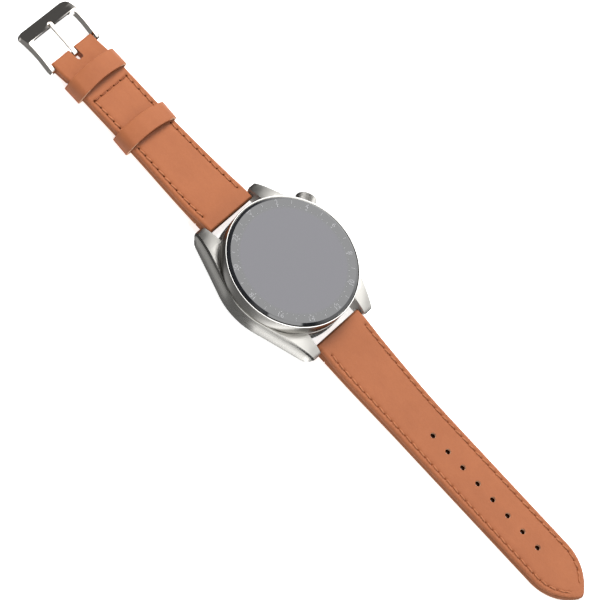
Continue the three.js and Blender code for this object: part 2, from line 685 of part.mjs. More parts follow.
/** A strap half with its lug bar; the long one is turned to point along -Y. */
function strapGroup(prefix, layers, clock) {
  const group = new THREE.Group();
  const bar = mesh(`lug_bar_${clock}`, lugBar(), 'steel');
  const pin = mesh(`release_pin_${clock}`, releasePin(), 'steel');
  for (const piece of [bar, pin]) piece.position.set(0, BAR.y, BAR.z);
  group.add(
    mesh(`${prefix}_upper_leather`, layers.upper, 'leather'),
    mesh(`${prefix}_filler`, layers.filler, 'lining'),
    mesh(`${prefix}_lining`, layers.lining, 'lining'),
    bar,
    pin,
  );
  return group;
}

function buckleGroup() {
  const group = new THREE.Group();
  const bar = mesh('buckle_bar', buckleBar(), 'steel');
  bar.position.set(0, PIVOT.y, PIVOT.z);
  const frame = mesh('buckle_frame', buckleFrame(), 'polished');
  group.add(bar, frame, mesh('buckle_tongue', buckleTongue(), 'polished'));
  return group;
}

const watch = new THREE.Group();
const longHalf = strapGroup('long_strap', longStrap(), 6);
longHalf.rotation.z = Math.PI;
const fixedKeeper = mesh('fixed_keeper', keeper(), 'leather');
fixedKeeper.position.y = FIXED_KEEPER_Y;
const freeKeeper = mesh('free_keeper', keeper(), 'leather');
freeKeeper.position.y = FREE_KEEPER.y;
freeKeeper.rotation.z = THREE.MathUtils.degToRad(FREE_KEEPER.yaw);
watch.add(
  caseGroup(), crownGroup(), buttonGroup(),
  strapGroup('short_strap', shortStrap(), 12), longHalf,
  fixedKeeper, freeKeeper, buckleGroup(),
);

export default watch;
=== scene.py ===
"""Smartwatch with a leather strap, laid out flat on a pale studio floor.

Lengths are in millimetres in the frame of the CAD part, and MM turns them into Blender's metres.
"""
import math

import bmesh
import bpy
from mathutils import Matrix, Vector


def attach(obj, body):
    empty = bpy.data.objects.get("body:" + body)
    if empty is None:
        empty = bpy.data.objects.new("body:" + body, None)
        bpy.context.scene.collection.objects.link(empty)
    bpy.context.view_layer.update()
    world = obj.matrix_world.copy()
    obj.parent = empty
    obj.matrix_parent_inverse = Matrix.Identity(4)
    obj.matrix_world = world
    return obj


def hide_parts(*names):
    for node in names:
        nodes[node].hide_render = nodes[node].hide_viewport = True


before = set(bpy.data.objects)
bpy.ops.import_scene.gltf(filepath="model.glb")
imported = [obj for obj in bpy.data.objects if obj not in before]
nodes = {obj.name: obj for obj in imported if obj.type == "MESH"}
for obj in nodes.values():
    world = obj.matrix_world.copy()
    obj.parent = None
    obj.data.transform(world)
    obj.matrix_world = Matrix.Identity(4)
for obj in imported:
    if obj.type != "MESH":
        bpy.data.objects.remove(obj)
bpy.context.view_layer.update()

MM = 0.001

# ---------- sizes, in millimetres ----------

CASE_R = 23.9
CASE_TOP = 7.9
BEZEL_R = 23.45
FLANK_ANGLE = 19.9
FLANK_SLOPE = -math.tan(math.radians(FLANK_ANGLE))
FLANK_START = CASE_R * math.sin(math.radians(FLANK_ANGLE))
GAP_HALF = 11.4
LUG_END = 28.2
BAR_Y, BAR_Z = 26.4, 3.4
CROWN_ANGLE, CROWN_Z = 28, 6.2
BUTTON_ANGLE, BUTTON_Z = -31, 4.6
PIVOT_Y, PIVOT_Z = 99.4, 1.6

LUG_TOPS = [(0, 7.9), (14, 7.9), (18, 7.8), (21, 7.45), (24.4, 6.7), (26.5, 5.9), (27.6, 5.35), (28.2, 4.7)]
LUG_UNDERSIDES = [(0, 1.2), (14, 1.2), (25.6, 1.0), (26.1, 1.2), (27.2, 2.8), (28.2, 4.4)]
CHAMFERS = [(0, 0.17), (6, 0.2), (9, 0.32), (13, 0.48), (17, 0.56), (28.2, 0.58)]

STRAP_TAPER = [(20, 10.8), (29, 10.8), (68, 9.9), (200, 9.9)]
SHORT_TOPS = [(25, 5.4), (27.5, 5.37), (30, 5.22), (33, 4.87), (36.5, 4.5), (41, 4.26), (50, 4.0), (62, 3.85),
              (92.5, 3.8), (96, 3.35), (99.4, 2.9), (102, 2.85)]
SHORT_UNDERSIDES = [(25, 1.4), (29.4, 1.4), (34, 1.35), (40, 1.25), (50, 1.2), (92.5, 1.2), (96, 0.75),
                    (99.4, 0.3), (102, 0.3)]
LONG_TOPS = [(25, 5.4), (27.5, 5.37), (30, 5.2), (33, 4.78), (36.5, 4.3), (41, 3.92), (50, 3.45), (62, 2.95),
             (74, 2.75), (150, 2.7)]
LONG_UNDERSIDES = [(25, 1.4), (29.4, 1.35), (34, 1.2), (40, 0.85), (50, 0.4), (62, 0.08), (74, 0.0),
                   (150, 0.0)]
LINING_THICKNESS = 0.7
STRAP_START = 25.0
SHORT_END = 101.1
LONG_TIP = 143.6
TIP_LENGTH = 15.6
SEAM_INSET = 2.05
SEAM_START = 30.7
SHORT_SEAM_END = 82.5
FOLD_SLOT_HALF, FOLD_SLOT_START = 1.3, 96.25
HOLES = [72.2 + 7.1 * i for i in range(8)]
HOLE_R = 1.0
LINING_HOLE_R = 0.88
KEEPER_LENGTH, KEEPER_THICKNESS, KEEPER_BOW = 6.9, 0.95, 0.8
FIXED_KEEPER_Y, FREE_KEEPER_Y, FREE_KEEPER_TURN = 88.85, 65.25, -3.2

BUCKLE_TOPS = [(98.1, 1.6), (98.3, 2.3), (98.8, 2.75), (99.6, 2.98), (102, 3.45), (105, 3.92), (108, 4.07),
               (110.7, 3.8), (113, 3.0), (114.8, 1.95), (115.4, 1.25)]
BUCKLE_UNDERSIDES = [(98.1, 1.3), (98.7, 0.5), (99.6, 0.28), (100.6, 0.4), (102.4, 0.7), (105, 1.05),
                     (108, 1.15), (110.6, 1.0), (112.8, 0.7), (114.6, 0.05), (115.2, 0.2), (115.4, 0.9)]


def curve_at(points, at):
    """Height at a distance along a smooth curve through the points, with no overshoot between them."""
    at = min(max(at, points[0][0]), points[-1][0])
    slopes = [(b[1] - a[1]) / (b[0] - a[0]) for a, b in zip(points, points[1:])]
    for i, (a, b) in enumerate(zip(points, points[1:])):
        if at <= b[0]:
            break
    span = b[0] - a[0]

    def tangent(j):
        if j == 0 or j == len(slopes):
            return slopes[min(j, len(slopes) - 1)]
        before, after = slopes[j - 1], slopes[j]
        return 0.0 if before * after <= 0 else 2 * before * after / (before + after)

    t = (at - a[0]) / span
    start, end = tangent(i) * span, tangent(i + 1) * span
    return ((2 * t**3 - 3 * t**2 + 1) * a[1] + (t**3 - 2 * t**2 + t) * start
            + (3 * t**2 - 2 * t**3) * b[1] + (t**3 - t**2) * end)


def steps(start, end, pitch):
    """Even steps from start to end, both included, no wider than the pitch."""
    count = max(1, math.ceil(abs(end - start) / pitch))
    return [start + (end - start) * i / count for i in range(count + 1)]


# ---------- meshes ----------

def mesh_object(name, points, faces, *materials):
    mesh = bpy.data.meshes.new(name)
    mesh.from_pydata([Vector(p) * MM for p in points], [], faces)
    for material in materials:
        mesh.materials.append(material)
    obj = bpy.data.objects.new(name, mesh)
    bpy.context.collection.objects.link(obj)
    tidy_normals(obj)
    return obj


def tidy_normals(obj):
    bm = bmesh.new()
    bm.from_mesh(obj.data)
    bmesh.ops.recalc_face_normals(bm, faces=bm.faces[:])
    bm.to_mesh(obj.data)
    bm.free()


def shade(obj, sharp_degrees=28):
    """Smooth faces, with the edges that turn more than this left sharp."""
    bm = bmesh.new()
    bm.from_mesh(obj.data)
    limit = math.radians(sharp_degrees)
    for face in bm.faces:
        face.smooth = True
    for edge in bm.edges:
        edge.smooth = len(edge.link_faces) == 2 and edge.calc_face_angle(0.0) < limit
    bm.to_mesh(obj.data)
    bm.free()
    return obj


def freeze(obj):
    """Applies the modifiers."""
    bpy.context.view_layer.update()
    graph = bpy.context.evaluated_depsgraph_get()
    mesh = bpy.data.meshes.new_from_object(obj.evaluated_get(graph))
    obj.modifiers.clear()
    obj.data = mesh
    return obj


def combine(obj, others, operation):
    for other in others:
        modifier = obj.modifiers.new(operation, "BOOLEAN")
        modifier.operation = operation
        modifier.solver = "MANIFOLD"
        modifier.object = other
    freeze(obj)
    for other in others:
        bpy.data.objects.remove(other)
    return obj


def carve(obj, *cutters):
    return combine(obj, cutters, "DIFFERENCE")


def soften(obj, width, segments=2, degrees=32):
    """Rounds the sharp edges by that width."""
    modifier = obj.modifiers.new("soften", "BEVEL")
    modifier.width = width * MM
    modifier.segments = segments
    modifier.limit_method = "ANGLE"
    modifier.angle_limit = math.radians(degrees)
    modifier.use_clamp_overlap = True
    return freeze(obj)


def paint(obj, rule):
    """Chooses each face's material slot from its centre in millimetres and its normal."""
    for face in obj.data.polygons:
        face.material_index = rule(face.center / MM, face.normal)
    return obj


def join(name, objects):
    """Joins meshes into one, keeping their materials."""
    bm = bmesh.new()
    materials = []
    for obj in objects:
        for material in obj.data.materials:
            if material not in materials:
                materials.append(material)
        start = len(bm.faces)
        bm.from_mesh(obj.data)
        bm.faces.ensure_lookup_table()
        for face in bm.faces[start:]:
            face.material_index = materials.index(obj.data.materials[face.material_index])
    mesh = bpy.data.meshes.new(name)
    bm.to_mesh(mesh)
    bm.free()
    for material in materials:
        mesh.materials.append(material)
    result = bpy.data.objects.new(name, mesh)
    bpy.context.collection.objects.link(result)
    for obj in objects:
        bpy.data.objects.remove(obj)
    return result


def move(obj, turn=0.0, x=0.0, y=0.0, z=0.0):
    """Turns a mesh about Z by degrees, then shifts it by millimetres."""
    shift = Matrix.Translation(Vector((x, y, z)) * MM)
    obj.data.transform(shift @ Matrix.Rotation(math.radians(turn), 4, "Z"))
    return obj


def loft(name, rings, *materials, loop=False):
    """Skins rings of equally many points; the ends are capped, or joined to each other in a loop."""
    count = len(rings[0])
    points = [p for ring in rings for p in ring]
    faces = []
    last = len(rings) if loop else len(rings) - 1
    for i in range(last):
        a, b = i * count, (i + 1) % len(rings) * count
        faces += [(a + j, a + (j + 1) % count, b + (j + 1) % count, b + j) for j in range(count)]
    if not loop:
        faces.append(tuple(range(count)))
        faces.append(tuple(range(len(points) - count, len(points))))
    return mesh_object(name, points, faces, *materials)


def lathe(name, profile, *materials, segments=160):
    """Revolves a profile of (radius, height) about Z: open from axis to axis, or closed round a ring."""
    on_axis = profile[0][0] == 0
    points, faces = [], []
    inner = profile[1:-1] if on_axis else profile
    for i in range(segments):
        turn = 2 * math.pi * i / segments
        points += [(r * math.cos(turn), r * math.sin(turn), z) for r, z in inner]
    count = len(inner)
    for i in range(segments):
        a, b = i * count, (i + 1) % segments * count
        for j in range(count if not on_axis else count - 1):
            k = (j + 1) % count
            faces.append((a + j, b + j, b + k, a + k))
    if on_axis:
        faces.append(tuple(i * count for i in range(segments)))
        faces.append(tuple(i * count + count - 1 for i in range(segments)))
    return mesh_object(name, points, faces, *materials)


def along_x(obj):
    """Turns a lathed mesh from the Z axis to the X axis."""
    obj.data.transform(Matrix.Rotation(math.pi / 2, 4, "Y"))
    return obj


def rod_x(name, start, end, radius, *materials, segments=40):
    profile = [(0, start), (radius, start), (radius, end), (0, end)]
    return along_x(lathe(name, profile, *materials, segments=segments))


def disc(name, radius, bottom, top, *materials, segments=64):
    profile = [(0, bottom), (radius, bottom), (radius, top), (0, top)]
    return lathe(name, profile, *materials, segments=segments)


def box(name, x0, x1, y0, y1, z0, z1, *materials):
    rings = [[(x0, y0, z), (x1, y0, z), (x1, y1, z), (x0, y1, z)] for z in (z0, z1)]
    return loft(name, rings, *materials)


def rounded_corners(corners, radii, pieces=8):
    """A polygon with each corner replaced by an arc of its own radius."""
    points = []
    for i, corner in enumerate(corners):
        p = Vector(corner)
        a = (Vector(corners[i - 1]) - p).normalized()
        b = (Vector(corners[(i + 1) % len(corners)]) - p).normalized()
        if radii[i] == 0:
            points.append(tuple(p))
            continue
        half = a.angle(b) / 2
        centre = p + (a + b).normalized() * radii[i] / math.sin(half)
        start = p + a * radii[i] / math.tan(half) - centre
        end = p + b * radii[i] / math.tan(half) - centre
        turn = start.angle_signed(end)
        for j in range(pieces + 1):
            spun = start.copy()
            spun.rotate(Matrix.Rotation(-turn * j / pieces, 2))
            points.append(tuple(centre + spun))
    return points


def prism(name, outline, z0, z1, *materials):
    return loft(name, [[(x, y, z) for x, y in outline] for z in (z0, z1)], *materials)


def slab(name, outline, bottom, top, cuts, *materials):
    """A plan outline sliced at those Y, then given an underside and a top that follow curves along Y."""
    bm = bmesh.new()
    bm.faces.new([bm.verts.new((x, y, 0)) for x, y in outline])
    for y in cuts:
        geometry = bm.verts[:] + bm.edges[:] + bm.faces[:]
        bmesh.ops.bisect_plane(bm, geom=geometry, plane_co=(0, y, 0), plane_no=(0, 1, 0), dist=1e-5)
    raised = bmesh.ops.extrude_face_region(bm, geom=bm.faces[:])
    upper = {v for v in raised["geom"] if isinstance(v, bmesh.types.BMVert)}
    for v in bm.verts:
        v.co.z = curve_at(top if v in upper else bottom, v.co.y)
        v.co *= MM
    bmesh.ops.recalc_face_normals(bm, faces=bm.faces[:])
    mesh = bpy.data.meshes.new(name)
    bm.to_mesh(mesh)
    bm.free()
    for material in materials:
        mesh.materials.append(material)
    obj = bpy.data.objects.new(name, mesh)
    bpy.context.collection.objects.link(obj)
    return obj


# ---------- materials ----------

class Nodes:
    """Short names for wiring one material's nodes."""

    def __init__(self, name, color, metallic, roughness):
        self.material = bpy.data.materials.new(name)
        self.material.use_nodes = True
        self.tree = self.material.node_tree
        self.shader = self.tree.nodes["Principled BSDF"]
        self.shader.inputs["Base Color"].default_value = (*color, 1)
        self.shader.inputs["Metallic"].default_value = metallic
        self.shader.inputs["Roughness"].default_value = roughness
        self.color = color
        self.roughness = roughness
        self.height = None

    def add(self, kind, inputs=None, **settings):
        node = self.tree.nodes.new(kind)
        for key, value in settings.items():
            setattr(node, key, value)
        for key, value in (inputs or {}).items():
            self.feed(node.inputs[key], value)
        return node

    def feed(self, socket, value):
        if isinstance(value, bpy.types.NodeSocket):
            self.tree.links.new(value, socket)
        elif isinstance(value, bpy.types.Node):
            self.tree.links.new(value.outputs[0], socket)
        else:
            socket.default_value = value

    def place(self, stretch=(1, 1, 1)):
        """Object coordinates in metres, scaled along each axis."""
        where = self.add("ShaderNodeTexCoord").outputs["Object"]
        return self.add("ShaderNodeMapping", {"Vector": where, "Scale": stretch})

    def radius(self):
        """The object's separate coordinates, and the distance from its Z axis."""
        where = self.add("ShaderNodeSeparateXYZ", {0: self.add("ShaderNodeTexCoord").outputs["Object"]})
        x, y = [self.add("ShaderNodeMath", {0: where.outputs[i], 1: where.outputs[i]}, operation="MULTIPLY")
                for i in (0, 1)]
        total = self.add("ShaderNodeMath", {0: x, 1: y}, operation="ADD")
        return where, self.add("ShaderNodeMath", {0: total}, operation="SQRT")

    def round_place(self, along, across):
        """Coordinates that run round the Z axis, so that a stretched grain follows the turning marks."""
        where, radius = self.radius()
        angle = self.add("ShaderNodeMath", {0: where.outputs[1], 1: where.outputs[0]}, operation="ARCTAN2")
        spread = self.add("ShaderNodeCombineXYZ", {0: angle, 1: radius, 2: where.outputs[2]})
        return self.add("ShaderNodeMapping", {"Vector": spread, "Scale": (along, across, across)})

    def noise(self, place, scale, detail=4.0, roughness=0.55):
        inputs = {"Vector": place, "Scale": scale, "Detail": detail, "Roughness": roughness}
        return self.add("ShaderNodeTexNoise", inputs).outputs["Fac"]

    def remap(self, value, low, high, start=0.25, end=0.75):
        inputs = {"Value": value, "From Min": start, "From Max": end, "To Min": low, "To Max": high}
        return self.add("ShaderNodeMapRange", inputs).outputs["Result"]

    def tint(self, factor, other, base=None):
        """Mixes the base colour towards another by a factor and feeds it to the shader."""
        mix = self.add("ShaderNodeMix", {0: factor}, data_type="RGBA")
        self.feed(mix.inputs[6], base if base is not None else (*self.color, 1))
        self.feed(mix.inputs[7], (*other, 1))
        self.feed(self.shader.inputs["Base Color"], mix.outputs[2])
        return mix.outputs[2]

    def bump(self, height, strength, distance_mm):
        inputs = {"Height": height, "Strength": strength, "Distance": distance_mm * MM}
        if self.height is not None:
            inputs["Normal"] = self.height
        self.height = self.add("ShaderNodeBump", inputs).outputs["Normal"]
        self.feed(self.shader.inputs["Normal"], self.height)

    def rough(self, factor, low, high):
        self.feed(self.shader.inputs["Roughness"], self.remap(factor, low, high))


def brushed(name, color, roughness, stretch=None, turned=False, depth=0.004):
    """Metal with fine brush marks, straight or turned round the Z axis."""
    n = Nodes(name, color, 1.0, roughness)
    place = n.round_place(1.2, 1.0) if turned else n.place(stretch)
    marks = n.noise(place, 9000 if turned else 7000, 3.0)
    soft = n.noise(n.place(), 160, 2.0)
    n.bump(marks, 0.5, depth)
    n.rough(marks, roughness - 0.05, roughness + 0.06)
    n.tint(n.remap(soft, 0.0, 0.25), tuple(c * 0.8 for c in color))
    return n.material


def polished(name, color, roughness=0.1):
    """Polished metal with a faint haze of handling marks."""
    n = Nodes(name, color, 1.0, roughness)
    haze = n.noise(n.place(), 900, 5.0)
    n.rough(haze, roughness - 0.03, roughness + 0.06)
    n.bump(n.noise(n.place(), 350, 2.0), 0.08, 0.01)
    n.tint(n.remap(haze, 0.0, 0.12), tuple(c * 0.85 for c in color))
    return n.material


def leather(name, color, deep, roughness=0.5, grain=1900, depth=0.03, specular=0.42):
    """Leather: pebbled grain, soft wrinkles with painted shade in their hollows, pores and uneven dye."""
    n = Nodes(name, color, 0.0, roughness)
    place = n.place()
    warp = n.noise(place, 420, 3.0)
    warped = n.add("ShaderNodeVectorMath", {0: place, 1: n.remap(warp, -0.0004, 0.0004)}, operation="ADD")
    cells = n.add("ShaderNodeTexVoronoi", {"Vector": warped, "Scale": grain}, feature="SMOOTH_F1")
    fine = n.noise(place, grain * 2.5, 3.0)
    wrinkle = n.noise(n.place((1.0, 0.45, 1.0)), 260, 5.0, 0.6)
    dye = n.noise(place, 55, 4.0, 0.6)
    fleck = n.noise(place, 1300, 3.0)
    n.bump(cells.outputs["Distance"], 0.6, depth)
    n.bump(fine, 0.25, depth * 0.4)
    n.bump(wrinkle, 0.35, depth * 2.5)
    first = n.tint(n.remap(dye, 0.0, 0.34), deep)
    second = n.tint(n.remap(fleck, 0.0, 0.2), deep, base=first)
    # Painted shade: darker where the wrinkle bump is low.
    n.tint(n.remap(wrinkle, 0.18, 0.0, 0.3, 0.6), deep, base=second)
    n.rough(fine, roughness - 0.07, roughness + 0.1)
    n.shader.inputs["Specular IOR Level"].default_value = specular
    return n.material


def moulded(name, color, roughness, other=None, scale=1800, depth=0.008, metallic=0.0, specular=0.5):
    """Plastic, rubber, ceramic or board: a fine surface with slight unevenness of colour and gloss."""
    n = Nodes(name, color, metallic, roughness)
    fine = n.noise(n.place(), scale, 4.0)
    n.bump(fine, 0.3, depth)
    n.rough(fine, max(0.02, roughness - 0.04), roughness + 0.05)
    n.tint(n.remap(n.noise(n.place(), scale * 0.12, 3.0), 0.0, 0.4), other or tuple(c * 0.6 for c in color))
    n.shader.inputs["Specular IOR Level"].default_value = specular
    return n.material


def wound(name, color, other, pitch_mm, metallic=0.9):
    """A coil of enamelled wire: fine rings about the Z axis, darker in the grooves between the turns as
    painted shade.
    """
    n = Nodes(name, color, metallic, 0.35)
    where = n.add("ShaderNodeTexCoord").outputs["Object"]
    rings = n.add("ShaderNodeTexWave", {"Vector": where, "Scale": 0.31 / (pitch_mm * MM), "Distortion": 0.0},
                  wave_type="RINGS", rings_direction="Z")
    n.bump(rings.outputs["Fac"], 0.8, 0.05)
    # Painted shade: darker where the ring bump is low, between the turns.
    n.tint(n.remap(rings.outputs["Fac"], 0.6, 0.0, 0.0, 0.6), other)
    return n.material


BRUSHED_METAL = (0.43, 0.42, 0.395)
CASE_SATIN = brushed("case_satin", BRUSHED_METAL, 0.38, (1.0, 0.05, 1.0))
CASE_FLANK = brushed("case_flank", BRUSHED_METAL, 0.27, (0.05, 0.05, 1.0))
CASE_POLISH = polished("case_polish", (0.44, 0.43, 0.405), 0.24)
BEZEL_SATIN = brushed("bezel_satin", BRUSHED_METAL, 0.29, turned=True)
LUG_GAP = moulded("lug_gap_metal", (0.5, 0.49, 0.465), 0.5, (0.44, 0.43, 0.41), 1600, 0.01, 0.5)
BEZEL_POLISH = polished("bezel_polish", (0.72, 0.71, 0.69), 0.08)
CROWN_SATIN = brushed("crown_satin", (0.4, 0.39, 0.37), 0.4, (1.0, 1.0, 1.0))
BUCKLE_STEEL = polished("buckle_steel", (0.76, 0.72, 0.67), 0.07)
SPRING_STEEL = brushed("spring_steel", (0.5, 0.5, 0.49), 0.32, (0.1, 1.0, 1.0))
TAN = (0.39, 0.132, 0.054)
TAN_DEEP = (0.25, 0.075, 0.029)
LEATHER = leather("tan_leather", TAN, TAN_DEEP)
# Dark edge paint for the strap sides, also used as painted shade on the rounded lug end facing the case.
EDGE_PAINT_AND_SHADE = leather("painted_edge_and_shade", (0.27, 0.1, 0.045), (0.18, 0.062, 0.027), 0.6, 900, 0.02, 0.08)
RAW_EDGE = leather("raw_edge", (0.72, 0.45, 0.3), (0.5, 0.26, 0.15), 0.7, 2600, 0.03)
LINING = leather("lining_leather", (0.37, 0.17, 0.082), (0.26, 0.115, 0.052), 0.7, 2600, 0.02, 0.08)
# Near-black brown for the walls of the punched holes: painted shade inside the holes.
HOLE_WALL_SHADE = moulded("hole_wall_shade", (0.05, 0.016, 0.006), 0.95, specular=0.0)
THREAD = leather("stitch_thread", (0.47, 0.178, 0.082), (0.34, 0.11, 0.048), 0.6, 4200, 0.03)
THREAD_DEEP = leather("cross_thread", (0.3, 0.098, 0.042), (0.19, 0.055, 0.022), 0.6, 4200, 0.03)
# Dark brown for the discs sunk at the needle holes: painted shade in the holes.
NEEDLE_HOLE_SHADE = moulded("needle_hole", (0.085, 0.024, 0.008), 0.9, specular=0.1)
# Darker leather brown for the discs at the long half's needle dents: painted shade in the dents.
NEEDLE_DENT_SHADE = moulded("needle_dent_shade", (0.2, 0.058, 0.022), 0.8, specular=0.2)
RUBBER = moulded("seal_rubber", (0.02, 0.02, 0.02), 0.7, specular=0.3)
CERAMIC = moulded("dark_ceramic", (0.026, 0.026, 0.028), 0.12, scale=500, depth=0.002)
PLASTIC = moulded("dark_plastic", (0.035, 0.035, 0.037), 0.55)
BOARD = moulded("solder_mask", (0.015, 0.09, 0.045), 0.35, (0.02, 0.05, 0.03), 700)
POUCH = moulded("foil_pouch", (0.42, 0.43, 0.44), 0.38, scale=300, depth=0.03, metallic=0.7)
FERRITE = moulded("ferrite", (0.06, 0.055, 0.05), 0.8)
RIBBON = moulded("ribbon_cable", (0.42, 0.2, 0.04), 0.4, (0.25, 0.1, 0.02), 500)
COPPER = wound("copper_winding", (0.75, 0.36, 0.17), (0.25, 0.1, 0.04), 0.32)
PRINT_BLACK = moulded("black_print", (0.012, 0.012, 0.014), 0.3, scale=400, depth=0.001)
PRINT_WHITE = moulded("white_print", (0.3, 0.3, 0.31), 0.4, (0.26, 0.26, 0.27), 400, 0.001)


# ---------- glass with what lies right under it ----------

def radius_band(n, inner_mm, outer_mm):
    """0 inside the inner radius about Z and 1 outside the outer one."""
    return n.remap(n.radius()[1], 0.0, 1.0, inner_mm * MM, outer_mm * MM)


def dial_glass():
    """Clear hard glass over a display that is off, with the black printed ring round it."""
    n = Nodes("dial_glass", (0.02, 0.018, 0.034), 0.0, 0.045)
    ring = radius_band(n, 18.3, 19.3)
    n.tint(ring, (0.012, 0.013, 0.016))
    smear = n.noise(n.place(), 130, 4.0)
    n.rough(smear, 0.035, 0.06)
    n.shader.inputs["IOR"].default_value = 1.77
    return n.material


def sensor_glass():
    """Dark window over a ring of eight photodiodes and a light source in the middle."""
    n = Nodes("sensor_glass", (0.008, 0.008, 0.009), 0.0, 0.04)
    outer = radius_band(n, 6.05, 6.1)
    inner = radius_band(n, 4.25, 4.3)
    middle = radius_band(n, 1.5, 1.55)
    where = n.radius()[0]
    angle = n.add("ShaderNodeMath", {0: where.outputs[1], 1: where.outputs[0]}, operation="ARCTAN2")
    eighth = n.add("ShaderNodeMath", {0: n.add("ShaderNodeMath", {0: angle, 1: 8.0}, operation="MULTIPLY")},
                   operation="COSINE")
    petal = n.remap(eighth, 0.0, 1.0, 0.2, 0.26)
    ring = n.add("ShaderNodeMath", {0: inner, 1: outer}, operation="SUBTRACT")
    cells = n.add("ShaderNodeMath", {0: ring, 1: petal}, operation="MULTIPLY")
    light = n.add("ShaderNodeMath", {0: 1.0, 1: middle}, operation="SUBTRACT")
    shown = n.add("ShaderNodeMath", {0: cells, 1: light}, operation="MAXIMUM")
    n.tint(shown, (0.05, 0.075, 0.06))
    n.rough(n.noise(n.place(), 150, 3.0), 0.03, 0.06)
    n.shader.inputs["IOR"].default_value = 1.6
    return n.material


COVER_GLASS = dial_glass()
SENSOR_GLASS = sensor_glass()


# ---------- case, bezel, glass and back ----------

def show(obj, body, slot, *replaced):
    """Puts a finished piece on its CAD body, standing for the CAD nodes named."""
    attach(obj, body)
    if replaced:
        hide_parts(*replaced)
    return obj


def flank_x(y):
    """Half width of the case at a distance from its middle: the round side, then the straight flank."""
    y = abs(y)
    if y < FLANK_START:
        return math.sqrt(CASE_R**2 - y**2)
    return math.sqrt(CASE_R**2 - FLANK_START**2) + FLANK_SLOPE * (y - FLANK_START)


def case_outline():
    """Plan of the case with its four lugs, worked out for one quarter and mirrored."""
    inner_wall = [(x, math.sqrt((BEZEL_R + 0.05)**2 - x**2)) for x in steps(0, GAP_HALF, 0.8)]
    tip_x = flank_x(27.2)
    tip = [(GAP_HALF, 27.5), (GAP_HALF + 0.25, 28.0), (GAP_HALF + 0.8, LUG_END), (tip_x - 1.5, LUG_END),
           (tip_x - 0.55, 28.1), (tip_x - 0.1, 27.75), (tip_x, 27.2)]
    flank = [(flank_x(FLANK_START), FLANK_START)]
    arc = [(CASE_R * math.cos(a), CASE_R * math.sin(a))
           for a in steps(math.radians(FLANK_ANGLE), 0, math.radians(2.5))[1:]]
    quarter = inner_wall + tip + flank + arc
    right = quarter + [(x, -y) for x, y in quarter[-2::-1]]
    return right + [(-x, y) for x, y in right[-2:0:-1]]


def chamfer_cutter(side):
    """Wedge along one flank that leaves the polished chamfer, narrow at the middle and wide at the lugs."""
    rings = []
    for y in steps(-LUG_END - 1, LUG_END + 1, 0.7):
        at = min(abs(y), LUG_END)
        x, top, width = flank_x(at), curve_at(LUG_TOPS, at), curve_at(CHAMFERS, at)
        rings.append([(side * px, y, pz) for px, pz in (
            (x - width - 1, top + 1), (x + 1, top - width - 1), (x + 3, top - width + 1), (x + 1, top + 3))])
    return loft("wedge", rings)


def groove_cutter():
    """Groove between the bezel and each lug, which runs out where the case is round."""
    rings = []
    for degrees in range(0, 360, 3):
        from_side = min(degrees % 180, 180 - degrees % 180)
        sink = min(max((from_side - 22) / 12, 0), 1)
        floor = CASE_TOP + 0.3 - sink * 0.7
        c, s = math.cos(math.radians(degrees)), math.sin(math.radians(degrees))
        rings.append([(r * c, r * s, z) for r, z in (
            (BEZEL_R, floor), (BEZEL_R + 0.24, floor), (BEZEL_R + 0.42, CASE_TOP + 2),
            (BEZEL_R, CASE_TOP + 2))])
    return loft("groove", rings, loop=True)


def pill_x(name, start, end, length, height, angle, z):
    """A pill-shaped pocket facing outward at an angle round the case."""
    h = height / 2
    corners = [(-length / 2, -h), (length / 2, -h), (length / 2, h), (-length / 2, h)]
    outline = rounded_corners(corners, [h * 0.98] * 4)
    pill = loft(name, [[(x, a, b) for a, b in outline] for x in (start, end)])
    return move(pill, angle, 0, 0, z)


def build_case():
    cuts = [side * y for side in (-1, 1) for y in steps(14, 28, 0.7)]
    body = slab("case_shell", case_outline(), mirrored(LUG_UNDERSIDES), mirrored(LUG_TOPS), cuts,
                CASE_SATIN, CASE_FLANK, CASE_POLISH, LUG_GAP)
    bore = lathe("bore", [
        (0, -1), (21.25, -1), (21.25, 2.6), (19.2, 2.6), (19.2, 3.3), (20.4, 3.3), (20.4, 9), (0, 9),
    ])
    crown_seat = move(rod_x("seat", 24.15, 28, 3.9, segments=64), CROWN_ANGLE, 0, 0, CROWN_Z)
    crown_hole = move(rod_x("hole", 18, 26, 1.5), CROWN_ANGLE, 0, 0, CROWN_Z)
    button_seat = pill_x("pocket", 22.3, 27, 7.7, 2.9, BUTTON_ANGLE, BUTTON_Z)
    button_hole = move(rod_x("hole", 18, 23, 1.0), BUTTON_ANGLE, 0, 0, BUTTON_Z)
    bars = [move(rod_x("bar", -13.1, 13.1, 0.62), 0, 0, y, BAR_Z) for y in (BAR_Y, -BAR_Y)]
    ports = [pill_x("port", 19.5, 25, 1.0, 1.6, -90 + turn, 4.4) for turn in (-5.8, 0, 5.8)]
    carve(body, chamfer_cutter(1), chamfer_cutter(-1), groove_cutter(), bore)
    carve(body, crown_seat, crown_hole, button_seat, button_hole, *bars, *ports)
    paint(body, case_slot)
    shade(soften(body, 0.07, 2, 38), 24)
    return show(body, "case", "case_metal", "case_body")


def mirrored(points):
    return [(-at, value) for at, value in points[:0:-1]] + points


def case_slot(centre, normal):
    if normal.z > 0.3 and abs(normal.x) > 0.35:
        return 2
    if abs(centre.x) < GAP_HALF + 0.3 and abs(centre.y) > 20 and abs(normal.x) > 0.5:
        return 3
    return 0 if normal.z > 0.6 else 1


